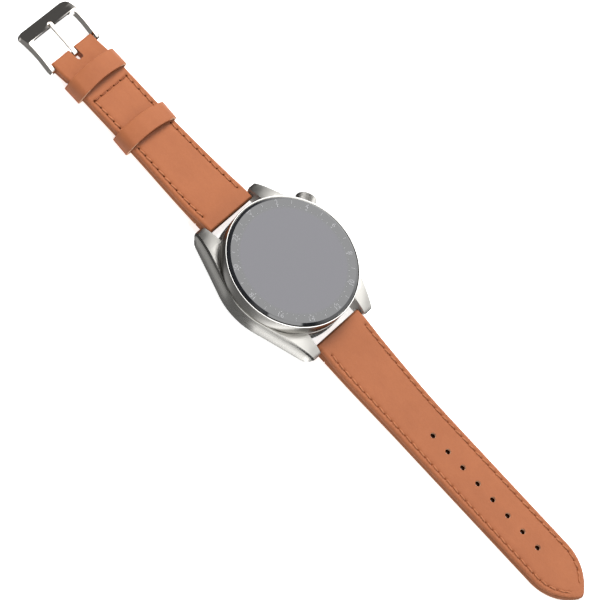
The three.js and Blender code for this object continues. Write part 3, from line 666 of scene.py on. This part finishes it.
def build_bezel():
    ring = lathe("bezel", [
        (21.3, 7.95), (BEZEL_R, 7.95), (BEZEL_R, 12.7), (BEZEL_R - 0.03, 12.8), (BEZEL_R - 0.08, 12.86),
        (BEZEL_R - 0.15, 12.89), (BEZEL_R - 0.2, 12.9), (BEZEL_R - 0.28, 12.9), (BEZEL_R - 0.4, 12.84),
        (22.83, 12.72), (22.8, 12.66), (22.8, 12.2), (21.3, 12.2),
    ], BEZEL_SATIN, BEZEL_POLISH, segments=256)
    paint(ring, lambda centre, normal: 1 if centre.z > 12.87 else 0)
    return show(shade(ring, 30), "case", "bezel_metal", "bezel_ring")


def build_glass():
    profile = [(0, 12.45), (22.75, 12.45), (22.75, 12.9), (22.7, 12.98), (21.93, 13.47), (21.86, 13.495),
               (21.7, 13.5), (0, 13.5)]
    glass = lathe("glass", profile, COVER_GLASS, segments=256)
    return show(shade(glass, 12), "case", "cover_glass", "cover_glass")


def build_back():
    back = lathe("back_plate", [
        (9.6, 0.78), (10.0, 0.72), (14, 0.82), (18.5, 1.0), (20.2, 1.14), (20.75, 1.25), (20.95, 1.5),
        (20.95, 2.3), (9.6, 2.3),
    ], CERAMIC, segments=192)
    show(shade(back, 35), "case", "ceramic", "back_cover")
    window = lathe("sensor_lens", [
        (0, 0.0), (6.5, 0.0), (7.4, 0.06), (8.3, 0.22), (9.0, 0.5), (9.35, 0.8), (9.35, 1.9), (0, 1.9),
    ], SENSOR_GLASS, CERAMIC, BOARD, segments=128)
    return show(shade(window, 35), "case", "sensor_glass", "sensor_window")


# ---------- hour scale under the glass ----------

SCALE_Z = 13.5
SCALE_THICKNESS = 0.012


def text_mesh(text, size):
    curve = bpy.data.curves.new("numeral", "FONT")
    curve.body = text
    curve.size = size
    curve.align_x = "CENTER"
    curve.align_y = "CENTER"
    curve.extrude = SCALE_THICKNESS / 2
    obj = bpy.data.objects.new("numeral", curve)
    bpy.context.collection.objects.link(obj)
    bpy.context.view_layer.update()
    graph = bpy.context.evaluated_depsgraph_get()
    mesh = bpy.data.meshes.new_from_object(obj.evaluated_get(graph))
    bpy.data.objects.remove(obj)
    mesh.materials.clear()
    mesh.materials.append(PRINT_WHITE)
    mesh.transform(Matrix.Scale(MM, 4))
    made = bpy.data.objects.new("numeral", mesh)
    bpy.context.collection.objects.link(made)
    return made


def on_dial(obj, clock_degrees, radius, turn=0.0):
    """Places a flat mark at an angle clockwise from 12 o'clock, turned about its own middle first."""
    angle = math.radians(clock_degrees)
    move(obj, turn - clock_degrees)
    return move(obj, 0, radius * math.sin(angle), radius * math.cos(angle), SCALE_Z + SCALE_THICKNESS / 2)


def dot(radius):
    return disc("dot", radius, -SCALE_THICKNESS / 2, SCALE_THICKNESS / 2, PRINT_WHITE, segments=12)


def triangle_mark():
    """Outlined triangle at 12 o'clock, pointing inward."""
    outer = [(0, -0.95), (0.95, 0.75), (-0.95, 0.75)]
    inner = [(x * 0.62, y * 0.62 + 0.03) for x, y in outer]
    half = SCALE_THICKNESS / 2
    rings = [[(*outer[i], -half), (*outer[i], half), (*inner[i], half), (*inner[i], -half)] for i in range(3)]
    return loft("triangle", rings, PRINT_WHITE, loop=True)


def build_scale():
    marks = [on_dial(triangle_mark(), 0, 21.0)]
    for hour in range(0, 24, 2):
        angle = hour * 15
        marks.append(on_dial(dot(0.26), angle, 19.4))
        if hour:
            upright = 180 if 90 < angle < 270 else 0
            marks.append(on_dial(text_mesh(str(hour), 2.5), angle, 20.7, upright))
    for minute in range(60):
        if minute % 5:
            marks.append(on_dial(dot(0.14), minute * 6, 19.4))
    for hour in range(1, 24, 2):
        tick = box("tick", -0.09, 0.09, -0.6, 0.6, -SCALE_THICKNESS / 2, SCALE_THICKNESS / 2, PRINT_WHITE)
        marks.append(on_dial(tick, hour * 15, 20.9))
    return show(join("hour_scale", marks), "case", "black_print")


# ---------- crown and side button ----------

def build_crown():
    flutes = 60
    profile = [(24.8, 3.2), (24.85, 3.45), (25.0, 3.6), (27.95, 3.6), (28.15, 3.52), (28.32, 3.35),
               (28.46, 3.05), (28.6, 2.5), (28.71, 1.7), (28.77, 0.9), (28.79, 0.3)]
    rings = []
    for x, radius in profile:
        depth = 0.12 if 3.5 < radius else 0.0
        rings.append([(x, r * math.cos(a), r * math.sin(a)) for a, r in (
            (math.pi * i / flutes, radius - depth * (i % 2)) for i in range(flutes * 2))])
    cap = loft("crown", rings, CROWN_SATIN)
    bore = rod_x("bore", 24, 25.9, 0.75)
    carve(cap, bore)
    move(cap, CROWN_ANGLE, 0, 0, CROWN_Z)
    return show(shade(cap, 30), "crown", "crown_metal", "crown_cap")


def build_button():
    cap = pill_x("side_button_cap", 22.75, 27, 7.4, 2.6, 0, 0)
    flank = box("flank", CASE_R + 0.1, 40, -20, 20, -6, 6)
    carve(cap, move(flank, -FLANK_ANGLE - BUTTON_ANGLE))
    combine(cap, [rod_x("stem", 18.5, 23.1, 0.6)], "UNION")
    cap.data.materials.clear()
    cap.data.materials.append(CROWN_SATIN)
    move(cap, BUTTON_ANGLE, 0, 0, BUTTON_Z)
    return show(shade(soften(cap, 0.12, 3, 40), 30), "side_button", "crown_metal", "side_button")


# ---------- strap ----------

def strap_half(y):
    """Half width of a strap at a distance from the case centre, before the point of the long half."""
    return curve_at(STRAP_TAPER, y)


def long_half(y, inset=0.0):
    """Half width in the pointed end of the long half, or of a line inset from its edge."""
    half = strap_half(y)
    arc = (TIP_LENGTH**2 + half**2) / (2 * half)
    along = y - (LONG_TIP - TIP_LENGTH)
    if along <= 0:
        return half - inset
    reach = (arc - inset)**2 - along**2
    return half - arc + math.sqrt(max(reach, 0))


def short_half(y, inset=0.0):
    return strap_half(y) - inset


def bell(distance, width):
    return math.exp(-(distance / width)**2)


def strap_section(y, half, low, high, seam, pressed, folded):
    """One cross-section: a softly crowned top pressed in along the seams, rounded edges, a flat underside."""
    edge = min(1.0, half * 0.3)
    drop = min(edge, (high - low) * 0.55)
    inner = max(seam - 1.1, 0.02)
    across = [inner * f for f in (0, 0.2, 0.4, 0.6, 0.8, 0.92)]
    across += [seam + d for d in (-0.85, -0.6, -0.4, -0.2, 0.0, 0.2, 0.4, 0.6, 0.85)]
    across = [min(max(x, 0.005 * i), half - edge - 0.02 * (20 - i)) for i, x in enumerate(across)]
    across += [(across[-1] + half - edge) / 2]
    crown = 0.16 * min(1, (high - low) / 2)

    def top(x):
        return high + crown * (1 - (x / half)**2) - crown * 0.6 - pressed * bell(x - seam, 0.58)

    corner = [(half - edge + edge * math.sin(a), top(half - edge) - drop + drop * math.cos(a))
              for a in steps(0, math.pi / 2, math.pi / 8)]
    foot = 0.3 if folded else 0.05
    right = [(x, top(x)) for x in across] + corner + [(half, low + foot), (half - foot, low)]
    ring = right[::-1] + [(-x, z) for x, z in right[1:]]
    return [(x, y, z) for x, z in ring]


NOSE = 0.95


def nose_rise(y):
    """How far the rounded lug end draws in the top and the underside."""
    into = y - STRAP_START
    return 0.0 if into >= NOSE else NOSE - math.sqrt(max(NOSE**2 - (NOSE - into)**2, 0))


def upper_rings(half_at, tops, undersides, end, seam_to, needles, fold_from, cross_at=0):
    """Cross-sections of the upper leather from the lug end to the other end."""
    rounded = [STRAP_START + NOSE * t for t in (0.0, 0.06, 0.2, 0.4, 0.7, 1.0)]
    close = [end - 0.75 * t for t in (1.0, 0.7, 0.4, 0.2, 0.07, 0.0)]
    rows = rounded + steps(rounded[-1], 30.58, 0.4)[1:] + steps(30.62, close[0], 0.38)[:-1] + close
    rings = []
    for y in rows:
        high, low = curve_at(tops, y) - 0.2 * bell(y - cross_at, 0.6), curve_at(undersides, y)
        folded = y < 30.6 or y > fold_from
        if not folded:
            low += LINING_THICKNESS + 0.02
        rise = nose_rise(y)
        left = end - y
        if left < 0.75:
            rise = (0.75 - math.sqrt(0.75**2 - (0.75 - left)**2)) * min(1, (high - low) / 2.2)
        pressed = 0.0
        if needles[0] - 1 < y < seam_to:
            pressed = 0.14 * min(1, y - needles[0] + 1, seam_to - y)
            pressed += 0.2 * max(bell(y - at, 0.5) for at in needles)
        seam = half_at(y, SEAM_INSET)
        rings.append(strap_section(y, half_at(y), low + rise, high - rise, seam, pressed, folded))
    return rings


def lining_rings(half_at, undersides, end):
    rings = []
    for y in steps(30.9, end, 0.8):
        half, low = half_at(y) - 0.04, curve_at(undersides, y)
        high = low + LINING_THICKNESS
        right = [(half * 0.5, high), (half, high), (half, low + 0.2), (half - 0.2, low), (half * 0.5, low)]
        ring = right + [(-x, z) for x, z in right[::-1]]
        rings.append([(x, y, z) for x, z in ring])
    return rings


def in_hole(centre, holes):
    reach = HOLE_R + 0.15
    return any(centre.x**2 + (abs(centre.y) - at)**2 < reach**2 for at in holes)


def leather_slot(half_at, holes):
    """Painted edge on the sides, painted shade on the hole walls and on the rounded lug end, leather
    elsewhere.
    """
    def rule(centre, normal):
        y = abs(centre.y)
        into = half_at(y) - abs(centre.x)
        # Hole walls get the near-black slot as painted shade.
        if in_hole(centre, holes) and abs(normal.z) < 0.6:
            return 2
        if y > STRAP_START + 1 and into < 0.3 and normal.z < 0.1:
            return 1
        # The rounded lug end facing the case gets the dark edge colour as painted shade.
        if y < STRAP_START + NOSE and abs(normal.y) > 0.4:
            return 1
        return 1 if y > SHORT_END + 4 and normal.z < 0.5 and normal.z > -0.5 else 0
    return rule


THREAD_LENGTH = 2.35


def thread(x, y, z, turn, tilt=0.0, material=THREAD):
    """One stitch lying along Y before it is turned."""
    r, h = 0.34, THREAD_LENGTH / 2
    start = [(0, -h), (r * 0.55, -h + 0.06), (r * 0.9, -h + 0.3)]
    profile = start + [(r, 0.0)] + [(radius, -z) for radius, z in start[::-1]]
    piece = lathe("thread", profile, material, segments=10)
    piece.data.transform(Matrix.Rotation(-math.pi / 2 + tilt, 4, "X"))
    return move(piece, turn, x, y, z)


# A flat disc sunk at a needle hole; its material is painted shade in the hole.
def needle_hole(x, y, z, material):
    profile = [(0, -0.06), (0.25, -0.05), (0.36, 0.0), (0.25, 0.03), (0, 0.04)]
    return move(lathe("needle", profile, material, segments=12), 0, x, y, z)


def seam_surface(tops, y):
    return curve_at(tops, y) - 0.2


def seam_row(half_at, tops, needles, side, hole):
    """Stitches between needle holes along one edge."""
    pieces = []
    for i, y in enumerate(needles):
        # Each needle hole gets a disc in the given material, painted shade in the hole.
        pieces.append(needle_hole(side * half_at(y, SEAM_INSET), y, seam_surface(tops, y) - 0.06, hole))
        if i + 1 < len(needles):
            end = needles[i + 1]
            dx = half_at(end, SEAM_INSET) - half_at(y, SEAM_INSET)
            middle = (y + end) / 2
            slope = (curve_at(tops, end) - curve_at(tops, y)) / (end - y)
            turn = math.degrees(math.atan2(-side * dx, end - y)) - side * 8.0
            x = side * half_at(middle, SEAM_INSET)
            pieces.append(thread(x, middle, seam_surface(tops, middle) + 0.1, turn, math.atan(slope)))
    return pieces


def needle_places(start, end, pitch):
    count = round((end - start) / pitch)
    return [start + (end - start) * i / count for i in range(count + 1)]


def point_needles(pitch, start):
    """Needle places that stay a stitch apart along the seam round the pointed end."""
    places = [start]
    y = start
    last = LONG_TIP - 4.6
    while y < last:
        slope = (long_half(y + 0.1, SEAM_INSET) - long_half(y, SEAM_INSET)) / 0.1
        y += pitch / math.hypot(1, slope)
        places.append(min(y, last))
    return places


def lug_bar_cutters():
    tunnel = move(rod_x("tunnel", -12, 12, 0.95), 0, 0, BAR_Y, BAR_Z)
    pocket = box("pocket", -9.3, -6.6, 25.6, 27.2, 0.5, BAR_Z)
    return [tunnel, pocket]


def build_short_strap():
    needles = needle_places(SEAM_START, SHORT_SEAM_END, 3.05)
    rings = upper_rings(short_half, SHORT_TOPS, SHORT_UNDERSIDES, SHORT_END, SHORT_SEAM_END + 0.8, needles,
                        92.9, SHORT_SEAM_END)
    upper = loft("short_strap_upper", rings, LEATHER, EDGE_PAINT_AND_SHADE)
    w, start, past = FOLD_SLOT_HALF, FOLD_SLOT_START, SHORT_END + 4
    outline = rounded_corners([(-w, start), (w, start), (w, past), (-w, past)], [0.9, 0.9, 0, 0])
    slot = prism("slot", outline, -1, 7)
    carve(upper, *lug_bar_cutters())
    carve(upper, slot, move(rod_x("pivot", -12, 12, 0.92), 0, 0, PIVOT_Y, PIVOT_Z))
    paint(upper, leather_slot(short_half, []))
    show(shade(upper, 35), "strap_short", "leather", "short_strap_upper_leather", "short_strap_filler")
    lining = loft("short_strap_underside", lining_rings(short_half, SHORT_UNDERSIDES, 92.6), LINING)
    show(shade(lining, 35), "strap_short", "lining_leather", "short_strap_lining")
    # The dark discs at the needle holes are painted shade.
    pieces = [p for side in (1, -1) for p in seam_row(short_half, SHORT_TOPS, needles, side, NEEDLE_HOLE_SHADE)]
    pieces += cross_seam()
    show(shade(join("short_strap_stitches", pieces), 60), "strap_short", "leather")


def cross_seam():
    """The row of stitches across the short half that holds the fold round the buckle bar."""
    reach = short_half(SHORT_SEAM_END, SEAM_INSET)
    places = needle_places(-reach, reach, 3.0)
    z = seam_surface(SHORT_TOPS, SHORT_SEAM_END) + 0.08
    pieces = []
    for i, x in enumerate(places[:-1]):
        middle = (x + places[i + 1]) / 2
        pieces.append(thread(middle, SHORT_SEAM_END, z, 98, 0.0, THREAD_DEEP))
        # The needle holes across the strap get the same painted-shade discs.
        pieces.append(needle_hole(x, SHORT_SEAM_END, z + 0.02, NEEDLE_HOLE_SHADE))
    return pieces


def punches(radius):
    return [move(disc("punch", radius, -2, 8, segments=28), 0, 0, y, 0) for y in HOLES]


def build_long_strap():
    """Built towards +Y like the short half, then turned to its own side."""
    needles = point_needles(3.2, SEAM_START)
    rings = upper_rings(long_half, LONG_TOPS, LONG_UNDERSIDES, LONG_TIP - 0.1, LONG_TIP - 3.4, needles, 500)
    upper = loft("long_strap_upper", rings, LEATHER, EDGE_PAINT_AND_SHADE, HOLE_WALL_SHADE)
    carve(upper, *lug_bar_cutters(), *punches(HOLE_R))
    paint(upper, leather_slot(long_half, HOLES))
    rings = lining_rings(long_half, LONG_UNDERSIDES, LONG_TIP - 0.3)
    lining = loft("long_strap_underside", rings, LINING, HOLE_WALL_SHADE)
    carve(lining, *punches(LINING_HOLE_R))
    # The lining's hole walls get the near-black slot as painted shade.
    paint(lining, lambda centre, normal: 1 if abs(normal.z) < 0.6 and in_hole(centre, HOLES) else 0)
    rims = [move(hole_rim(), 0, 0, y, curve_at(LONG_TOPS, y)) for y in HOLES]
    # The needle dents on the long half get darker discs as painted shade.
    pieces = [p for side in (1, -1) for p in seam_row(long_half, LONG_TOPS, needles, side, NEEDLE_DENT_SHADE)]
    stitches = join("long_strap_stitches", pieces + rims)
    for obj in (upper, lining, stitches):
        obj.data.transform(Matrix.Rotation(math.pi, 4, "Z"))
    show(shade(upper, 35), "strap_long", "leather", "long_strap_upper_leather", "long_strap_filler")
    show(shade(lining, 35), "strap_long", "lining_leather", "long_strap_lining")
    show(shade(stitches, 60), "strap_long", "leather")


def hole_rim():
    """The pale cut leather just inside the mouth of a hole."""
    profile = [(0.95, -0.75), (1.06, -0.75), (1.1, 0.02), (1.03, 0.05), (0.97, -0.04)]
    return lathe("rim", profile, RAW_EDGE, segments=28)


# ---------- keepers ----------

def keeper_path():
    """Half of the loop's middle line in XZ: underside, corner, side, corner, crowned top."""
    half, low, high, sag, foot, turn = 10.93, 0.475, 6.05, 1.6, 0.8, 3.0
    points = [(x, low) for x in steps(0, half - foot, 1.2)]
    points += [(half - foot + foot * math.sin(a), low + foot - foot * math.cos(a))
               for a in steps(0, math.pi / 2, math.pi / 12)[1:]]

    def top(x):
        return high - sag * (x / half)**2

    lean = math.radians(83)
    shoulder = top(half - turn) - turn * math.sin(lean)
    points += [(half, z) for z in steps(low + foot, shoulder, 0.6)[1:]]
    points += [(half - turn + turn * math.cos(a), shoulder + turn * math.sin(a))
               for a in steps(0, lean, lean / 9)[1:]]
    points += [(x, top(x)) for x in steps(points[-1][0], 0, 0.9)[1:]]
    return points


def build_keeper(name, body, node, y, turn):
    half_path = keeper_path()
    path = half_path + [(-x, z) for x, z in half_path[-2:0:-1]]
    length, thick, round_off = KEEPER_LENGTH, KEEPER_THICKNESS, 0.2
    half, high = max(x for x, _ in path), max(z for _, z in path)
    band = rounded_corners([(-length / 2, -thick / 2), (length / 2, -thick / 2), (length / 2, thick / 2),
                            (-length / 2, thick / 2)], [round_off] * 4, 3)
    rings = []
    for i, (x, z) in enumerate(path):
        before, after = path[i - 1], path[(i + 1) % len(path)]
        tangent = Vector((after[0] - before[0], after[1] - before[1])).normalized()
        normal = (tangent.y, -tangent.x)
        shift = KEEPER_BOW * (1 - (x / half)**2) * max(0, (z - 1) / (high - 1))
        rings.append([(x + normal[0] * b, a + shift, z + normal[1] * b) for a, b in band])
    loop = loft(name, rings, LEATHER, RAW_EDGE, loop=True)
    paint(loop, lambda centre, normal: 1 if normal.y < -0.7 and abs(centre.x) > 7.5 else 0)
    move(loop, turn, 0, y, 0)
    return show(shade(loop, 50), body, "leather", node)


# ---------- buckle ----------

def build_buckle():
    half, arm, corner, inner_end, outer_end = 11.6, 1.3, 2.2, 110.7, 115.4
    start, inside = 98.1, half - arm
    outer = rounded_corners([(-half, start), (-half, outer_end), (half, outer_end), (half, start)],
                            [0.5, corner, corner, 0.5])
    inner = rounded_corners([(inside, start), (inside, inner_end), (-inside, inner_end), (-inside, start)],
                            [0.3, 1.9, 1.9, 0.3])
    cuts = steps(98.3, 100.6, 0.3) + steps(101, 115.3, 0.55)
    frame_mesh = slab("buckle", outer + inner, BUCKLE_UNDERSIDES, BUCKLE_TOPS, cuts, BUCKLE_STEEL)
    rest = move(disc("rest", 1.25, 3.0, 7, segments=40), 0, 0, inner_end + 0.4, 0)
    pins = move(rod_x("pin", -13, 13, 0.62), 0, 0, PIVOT_Y, PIVOT_Z)
    carve(frame_mesh, rest, pins)
    soften(frame_mesh, 0.32, 3, 48)
    return show(shade(frame_mesh, 40), "buckle", "buckle_metal", "buckle_frame")


def build_tongue():
    """Bar with a rounded section, swept from the eye round the pivot to the tip on the frame's rest."""
    eye = [(PIVOT_Y + 1.17 * math.cos(a), PIVOT_Z + 1.17 * math.sin(a))
           for a in steps(math.radians(-50), math.radians(-262), math.radians(16))]
    path = eye + [(100.2, 2.83), (101.5, 2.95), (103.5, 3.08), (105.5, 3.18), (108, 3.36), (110, 3.52),
                  (111.2, 3.62), (111.75, 3.72)]
    rings = []
    for i, (y, z) in enumerate(path):
        before, after = path[max(i - 1, 0)], path[min(i + 1, len(path) - 1)]
        along = Vector((after[0] - before[0], after[1] - before[1])).normalized()
        normal = Vector((-along.y, along.x))
        past = min(1, max(0, (y - 100) / 1.5)) if i >= len(eye) else 0
        thick = 0.22 + 0.22 * past
        wide = 0.82 if i < len(path) - 1 else 0.66
        corners = [(-wide, -thick), (wide, -thick), (wide, thick), (-wide, thick)]
        side = rounded_corners(corners, [thick * 0.8] * 4, 3)
        rings.append([(a, y + normal.x * b, z + normal.y * b) for a, b in side])
    tongue = loft("tongue", rings, BUCKLE_STEEL)
    return show(shade(tongue, 45), "tongue", "buckle_metal", "buckle_tongue")


# ---------- CAD nodes that keep their own shape ----------

KEPT = {
    SPRING_STEEL: ["lug_bar_12", "lug_bar_6", "release_pin_12", "release_pin_6", "buckle_bar", "crown_tube",
                   "crown_switch", "crown_stem", "button_switch", "button_clip", "vibration_motor",
                   "board_screw_1", "board_screw_2", "board_screw_3"],
    PRINT_BLACK: ["display_adhesive", "scale_film", "display_panel"],
    RUBBER: ["back_gasket", "crown_seal", "button_seal"],
    PLASTIC: ["inner_frame", "speaker_module", "crown_carrier", "encoder_wheel"],
    BOARD: ["main_board", "sensor_board"],
    RIBBON: ["display_flex"],
    COPPER: ["charging_coil"],
    FERRITE: ["ferrite_sheet"],
    POUCH: ["battery"],
}


def finish_kept_nodes():
    for material, names in KEPT.items():
        for name in names:
            mesh = nodes[name].data
            mesh.materials.clear()
            mesh.materials.append(material)


# ---------- studio ----------

VIEW_RIGHT = Vector((0.63200666, -0.68211144, 0.36782001))
VIEW_UP = Vector((0.56128556, 0.73016418, 0.38963931))
VIEW_BACK = Vector((-0.53434643, -0.03980258, 0.84432793))
LOOK_AT = Vector((-0.09, -10.28, 0.0)) * MM
CAMERA_DISTANCE = 1.2
LENS = 220.5


def build_camera():
    camera = bpy.data.cameras.new("camera")
    camera.sensor_width = 36
    camera.lens = LENS
    camera.clip_start, camera.clip_end = 0.05, 50
    obj = bpy.data.objects.new("camera", camera)
    bpy.context.collection.objects.link(obj)
    turn = Matrix((VIEW_RIGHT, VIEW_UP, VIEW_BACK)).transposed().to_4x4()
    obj.matrix_world = Matrix.Translation(LOOK_AT + VIEW_BACK * CAMERA_DISTANCE) @ turn
    bpy.context.scene.camera = obj


def direction(azimuth, elevation):
    """Unit vector: azimuth from -X towards -Y, elevation above the table."""
    a, e = math.radians(azimuth), math.radians(elevation)
    return (-math.cos(a) * math.cos(e), -math.sin(a) * math.cos(e), math.sin(e))


# Soft panels that only mirrored rays see: azimuth, elevation, inner and outer half angle, brightness.
PANELS = [
    (74, -57, 18, 21, 3.6),
    (35, -57, 5, 9, 2.0),
    (59, 48, 15, 19, 4.5),
    (114, 60, 14, 19, 3.5),
    (15, 31, 18, 30, 2.0),
    (60, 82, 8, 24, 1.2),
    (-34, 29, 8, 18, 0.22),
    (-52, -56, 4, 14, 1.0),
    (0, -57, 20, 60, 0.3),
    (180, 2, 25, 50, 2.6),
    (184, 57.6, 16, 28, 4.5),
    (32, -20, 14, 30, 1.5),
    (128, 25, 12, 32, 1.6),
]
ROOM_MIRRORED = 0.115
ROOM_LIGHT = 0.4
BACKDROP = 1.0
FLOOR_GLOW = 0.75


def build_world():
    """A dim room with bright panels for reflections, and an even pale light for everything else."""
    world = bpy.data.worlds.new("studio")
    bpy.context.scene.world = world
    world.use_nodes = True
    tree = world.node_tree
    tree.nodes.clear()

    def math_node(operation, a, b=0.0):
        node = tree.nodes.new("ShaderNodeMath")
        node.operation = operation
        for socket, value in zip(node.inputs, (a, b)):
            if isinstance(value, float):
                socket.default_value = value
            else:
                tree.links.new(value, socket)
        return node.outputs[0]

    where = tree.nodes.new("ShaderNodeTexCoord").outputs["Generated"]
    total = float(ROOM_MIRRORED)
    for azimuth, elevation, inner, outer, brightness in PANELS:
        dot_node = tree.nodes.new("ShaderNodeVectorMath")
        dot_node.operation = "DOT_PRODUCT"
        tree.links.new(where, dot_node.inputs[0])
        dot_node.inputs[1].default_value = direction(azimuth, elevation)
        ramp = tree.nodes.new("ShaderNodeMapRange")
        ramp.interpolation_type = "SMOOTHSTEP"
        tree.links.new(dot_node.outputs["Value"], ramp.inputs["Value"])
        ramp.inputs["From Min"].default_value = math.cos(math.radians(outer))
        ramp.inputs["From Max"].default_value = math.cos(math.radians(inner))
        ramp.inputs["To Max"].default_value = brightness
        total = math_node("MAXIMUM", ramp.outputs["Result"], total)
    path = tree.nodes.new("ShaderNodeLightPath")
    mirrored_part = math_node("MULTIPLY", total, path.outputs["Is Glossy Ray"])
    others = math_node("SUBTRACT", 1.0, path.outputs["Is Glossy Ray"])
    camera_part = math_node("MULTIPLY", path.outputs["Is Camera Ray"], BACKDROP - ROOM_LIGHT)
    rest = math_node("MULTIPLY", math_node("ADD", camera_part, ROOM_LIGHT), others)
    background = tree.nodes.new("ShaderNodeBackground")
    tree.links.new(math_node("ADD", mirrored_part, rest), background.inputs["Strength"])
    output = tree.nodes.new("ShaderNodeOutputWorld")
    tree.links.new(background.outputs[0], output.inputs["Surface"])


def area_light(name, azimuth, elevation, distance, size, power):
    light = bpy.data.lights.new(name, "AREA")
    light.shape = "SQUARE"
    light.size = size
    light.energy = power
    obj = bpy.data.objects.new(name, light)
    bpy.context.collection.objects.link(obj)
    away = Vector(direction(azimuth, elevation))
    obj.location = away * distance
    obj.rotation_mode = "QUATERNION"
    obj.rotation_quaternion = away.to_track_quat("Z", "Y")
    obj.visible_glossy = False
    obj.visible_camera = False


def build_floor():
    """A pale floor that can be looked through from below."""
    reach = 4000
    corners = [(-reach, -reach, 0), (reach, -reach, 0), (reach, reach, 0), (-reach, reach, 0)]
    floor = mesh_object("floor", corners, [(0, 1, 2, 3)])
    floor.location.z = -0.00005
    material = bpy.data.materials.new("pale_floor")
    material.use_nodes = True
    tree = material.node_tree
    shader = tree.nodes["Principled BSDF"]
    shader.inputs["Base Color"].default_value = (0.93, 0.93, 0.925, 1)
    shader.inputs["Roughness"].default_value = 0.9
    shader.inputs["Specular IOR Level"].default_value = 0.0
    shader.inputs["Emission Color"].default_value = (1.0, 1.0, 0.995, 1)
    shader.inputs["Emission Strength"].default_value = FLOOR_GLOW
    facing = tree.nodes.new("ShaderNodeNewGeometry").outputs["Backfacing"]
    clear = tree.nodes.new("ShaderNodeBsdfTransparent")
    mix = tree.nodes.new("ShaderNodeMixShader")
    tree.links.new(facing, mix.inputs[0])
    tree.links.new(shader.outputs[0], mix.inputs[1])
    tree.links.new(clear.outputs[0], mix.inputs[2])
    tree.links.new(mix.outputs[0], tree.nodes["Material Output"].inputs["Surface"])
    floor.data.materials.append(material)
    floor.visible_glossy = False


def build_studio():
    scene = bpy.context.scene
    scene.view_settings.view_transform = "Standard"
    scene.view_settings.look = "None"
    build_world()
    area_light("key", 229, 50, 1.6, 0.8, 34)
    area_light("side", 60, 35, 1.8, 0.8, 7)
    build_floor()


build_camera()
build_studio()
build_case()
build_bezel()
build_glass()
build_back()
build_scale()
build_crown()
build_button()
build_short_strap()
build_long_strap()
build_keeper("fixed_loop", "strap_short", "fixed_keeper", FIXED_KEEPER_Y, 0)
build_keeper("free_loop", "free_keeper", "free_keeper", FREE_KEEPER_Y, FREE_KEEPER_TURN)
build_buckle()
build_tongue()
finish_kept_nodes()
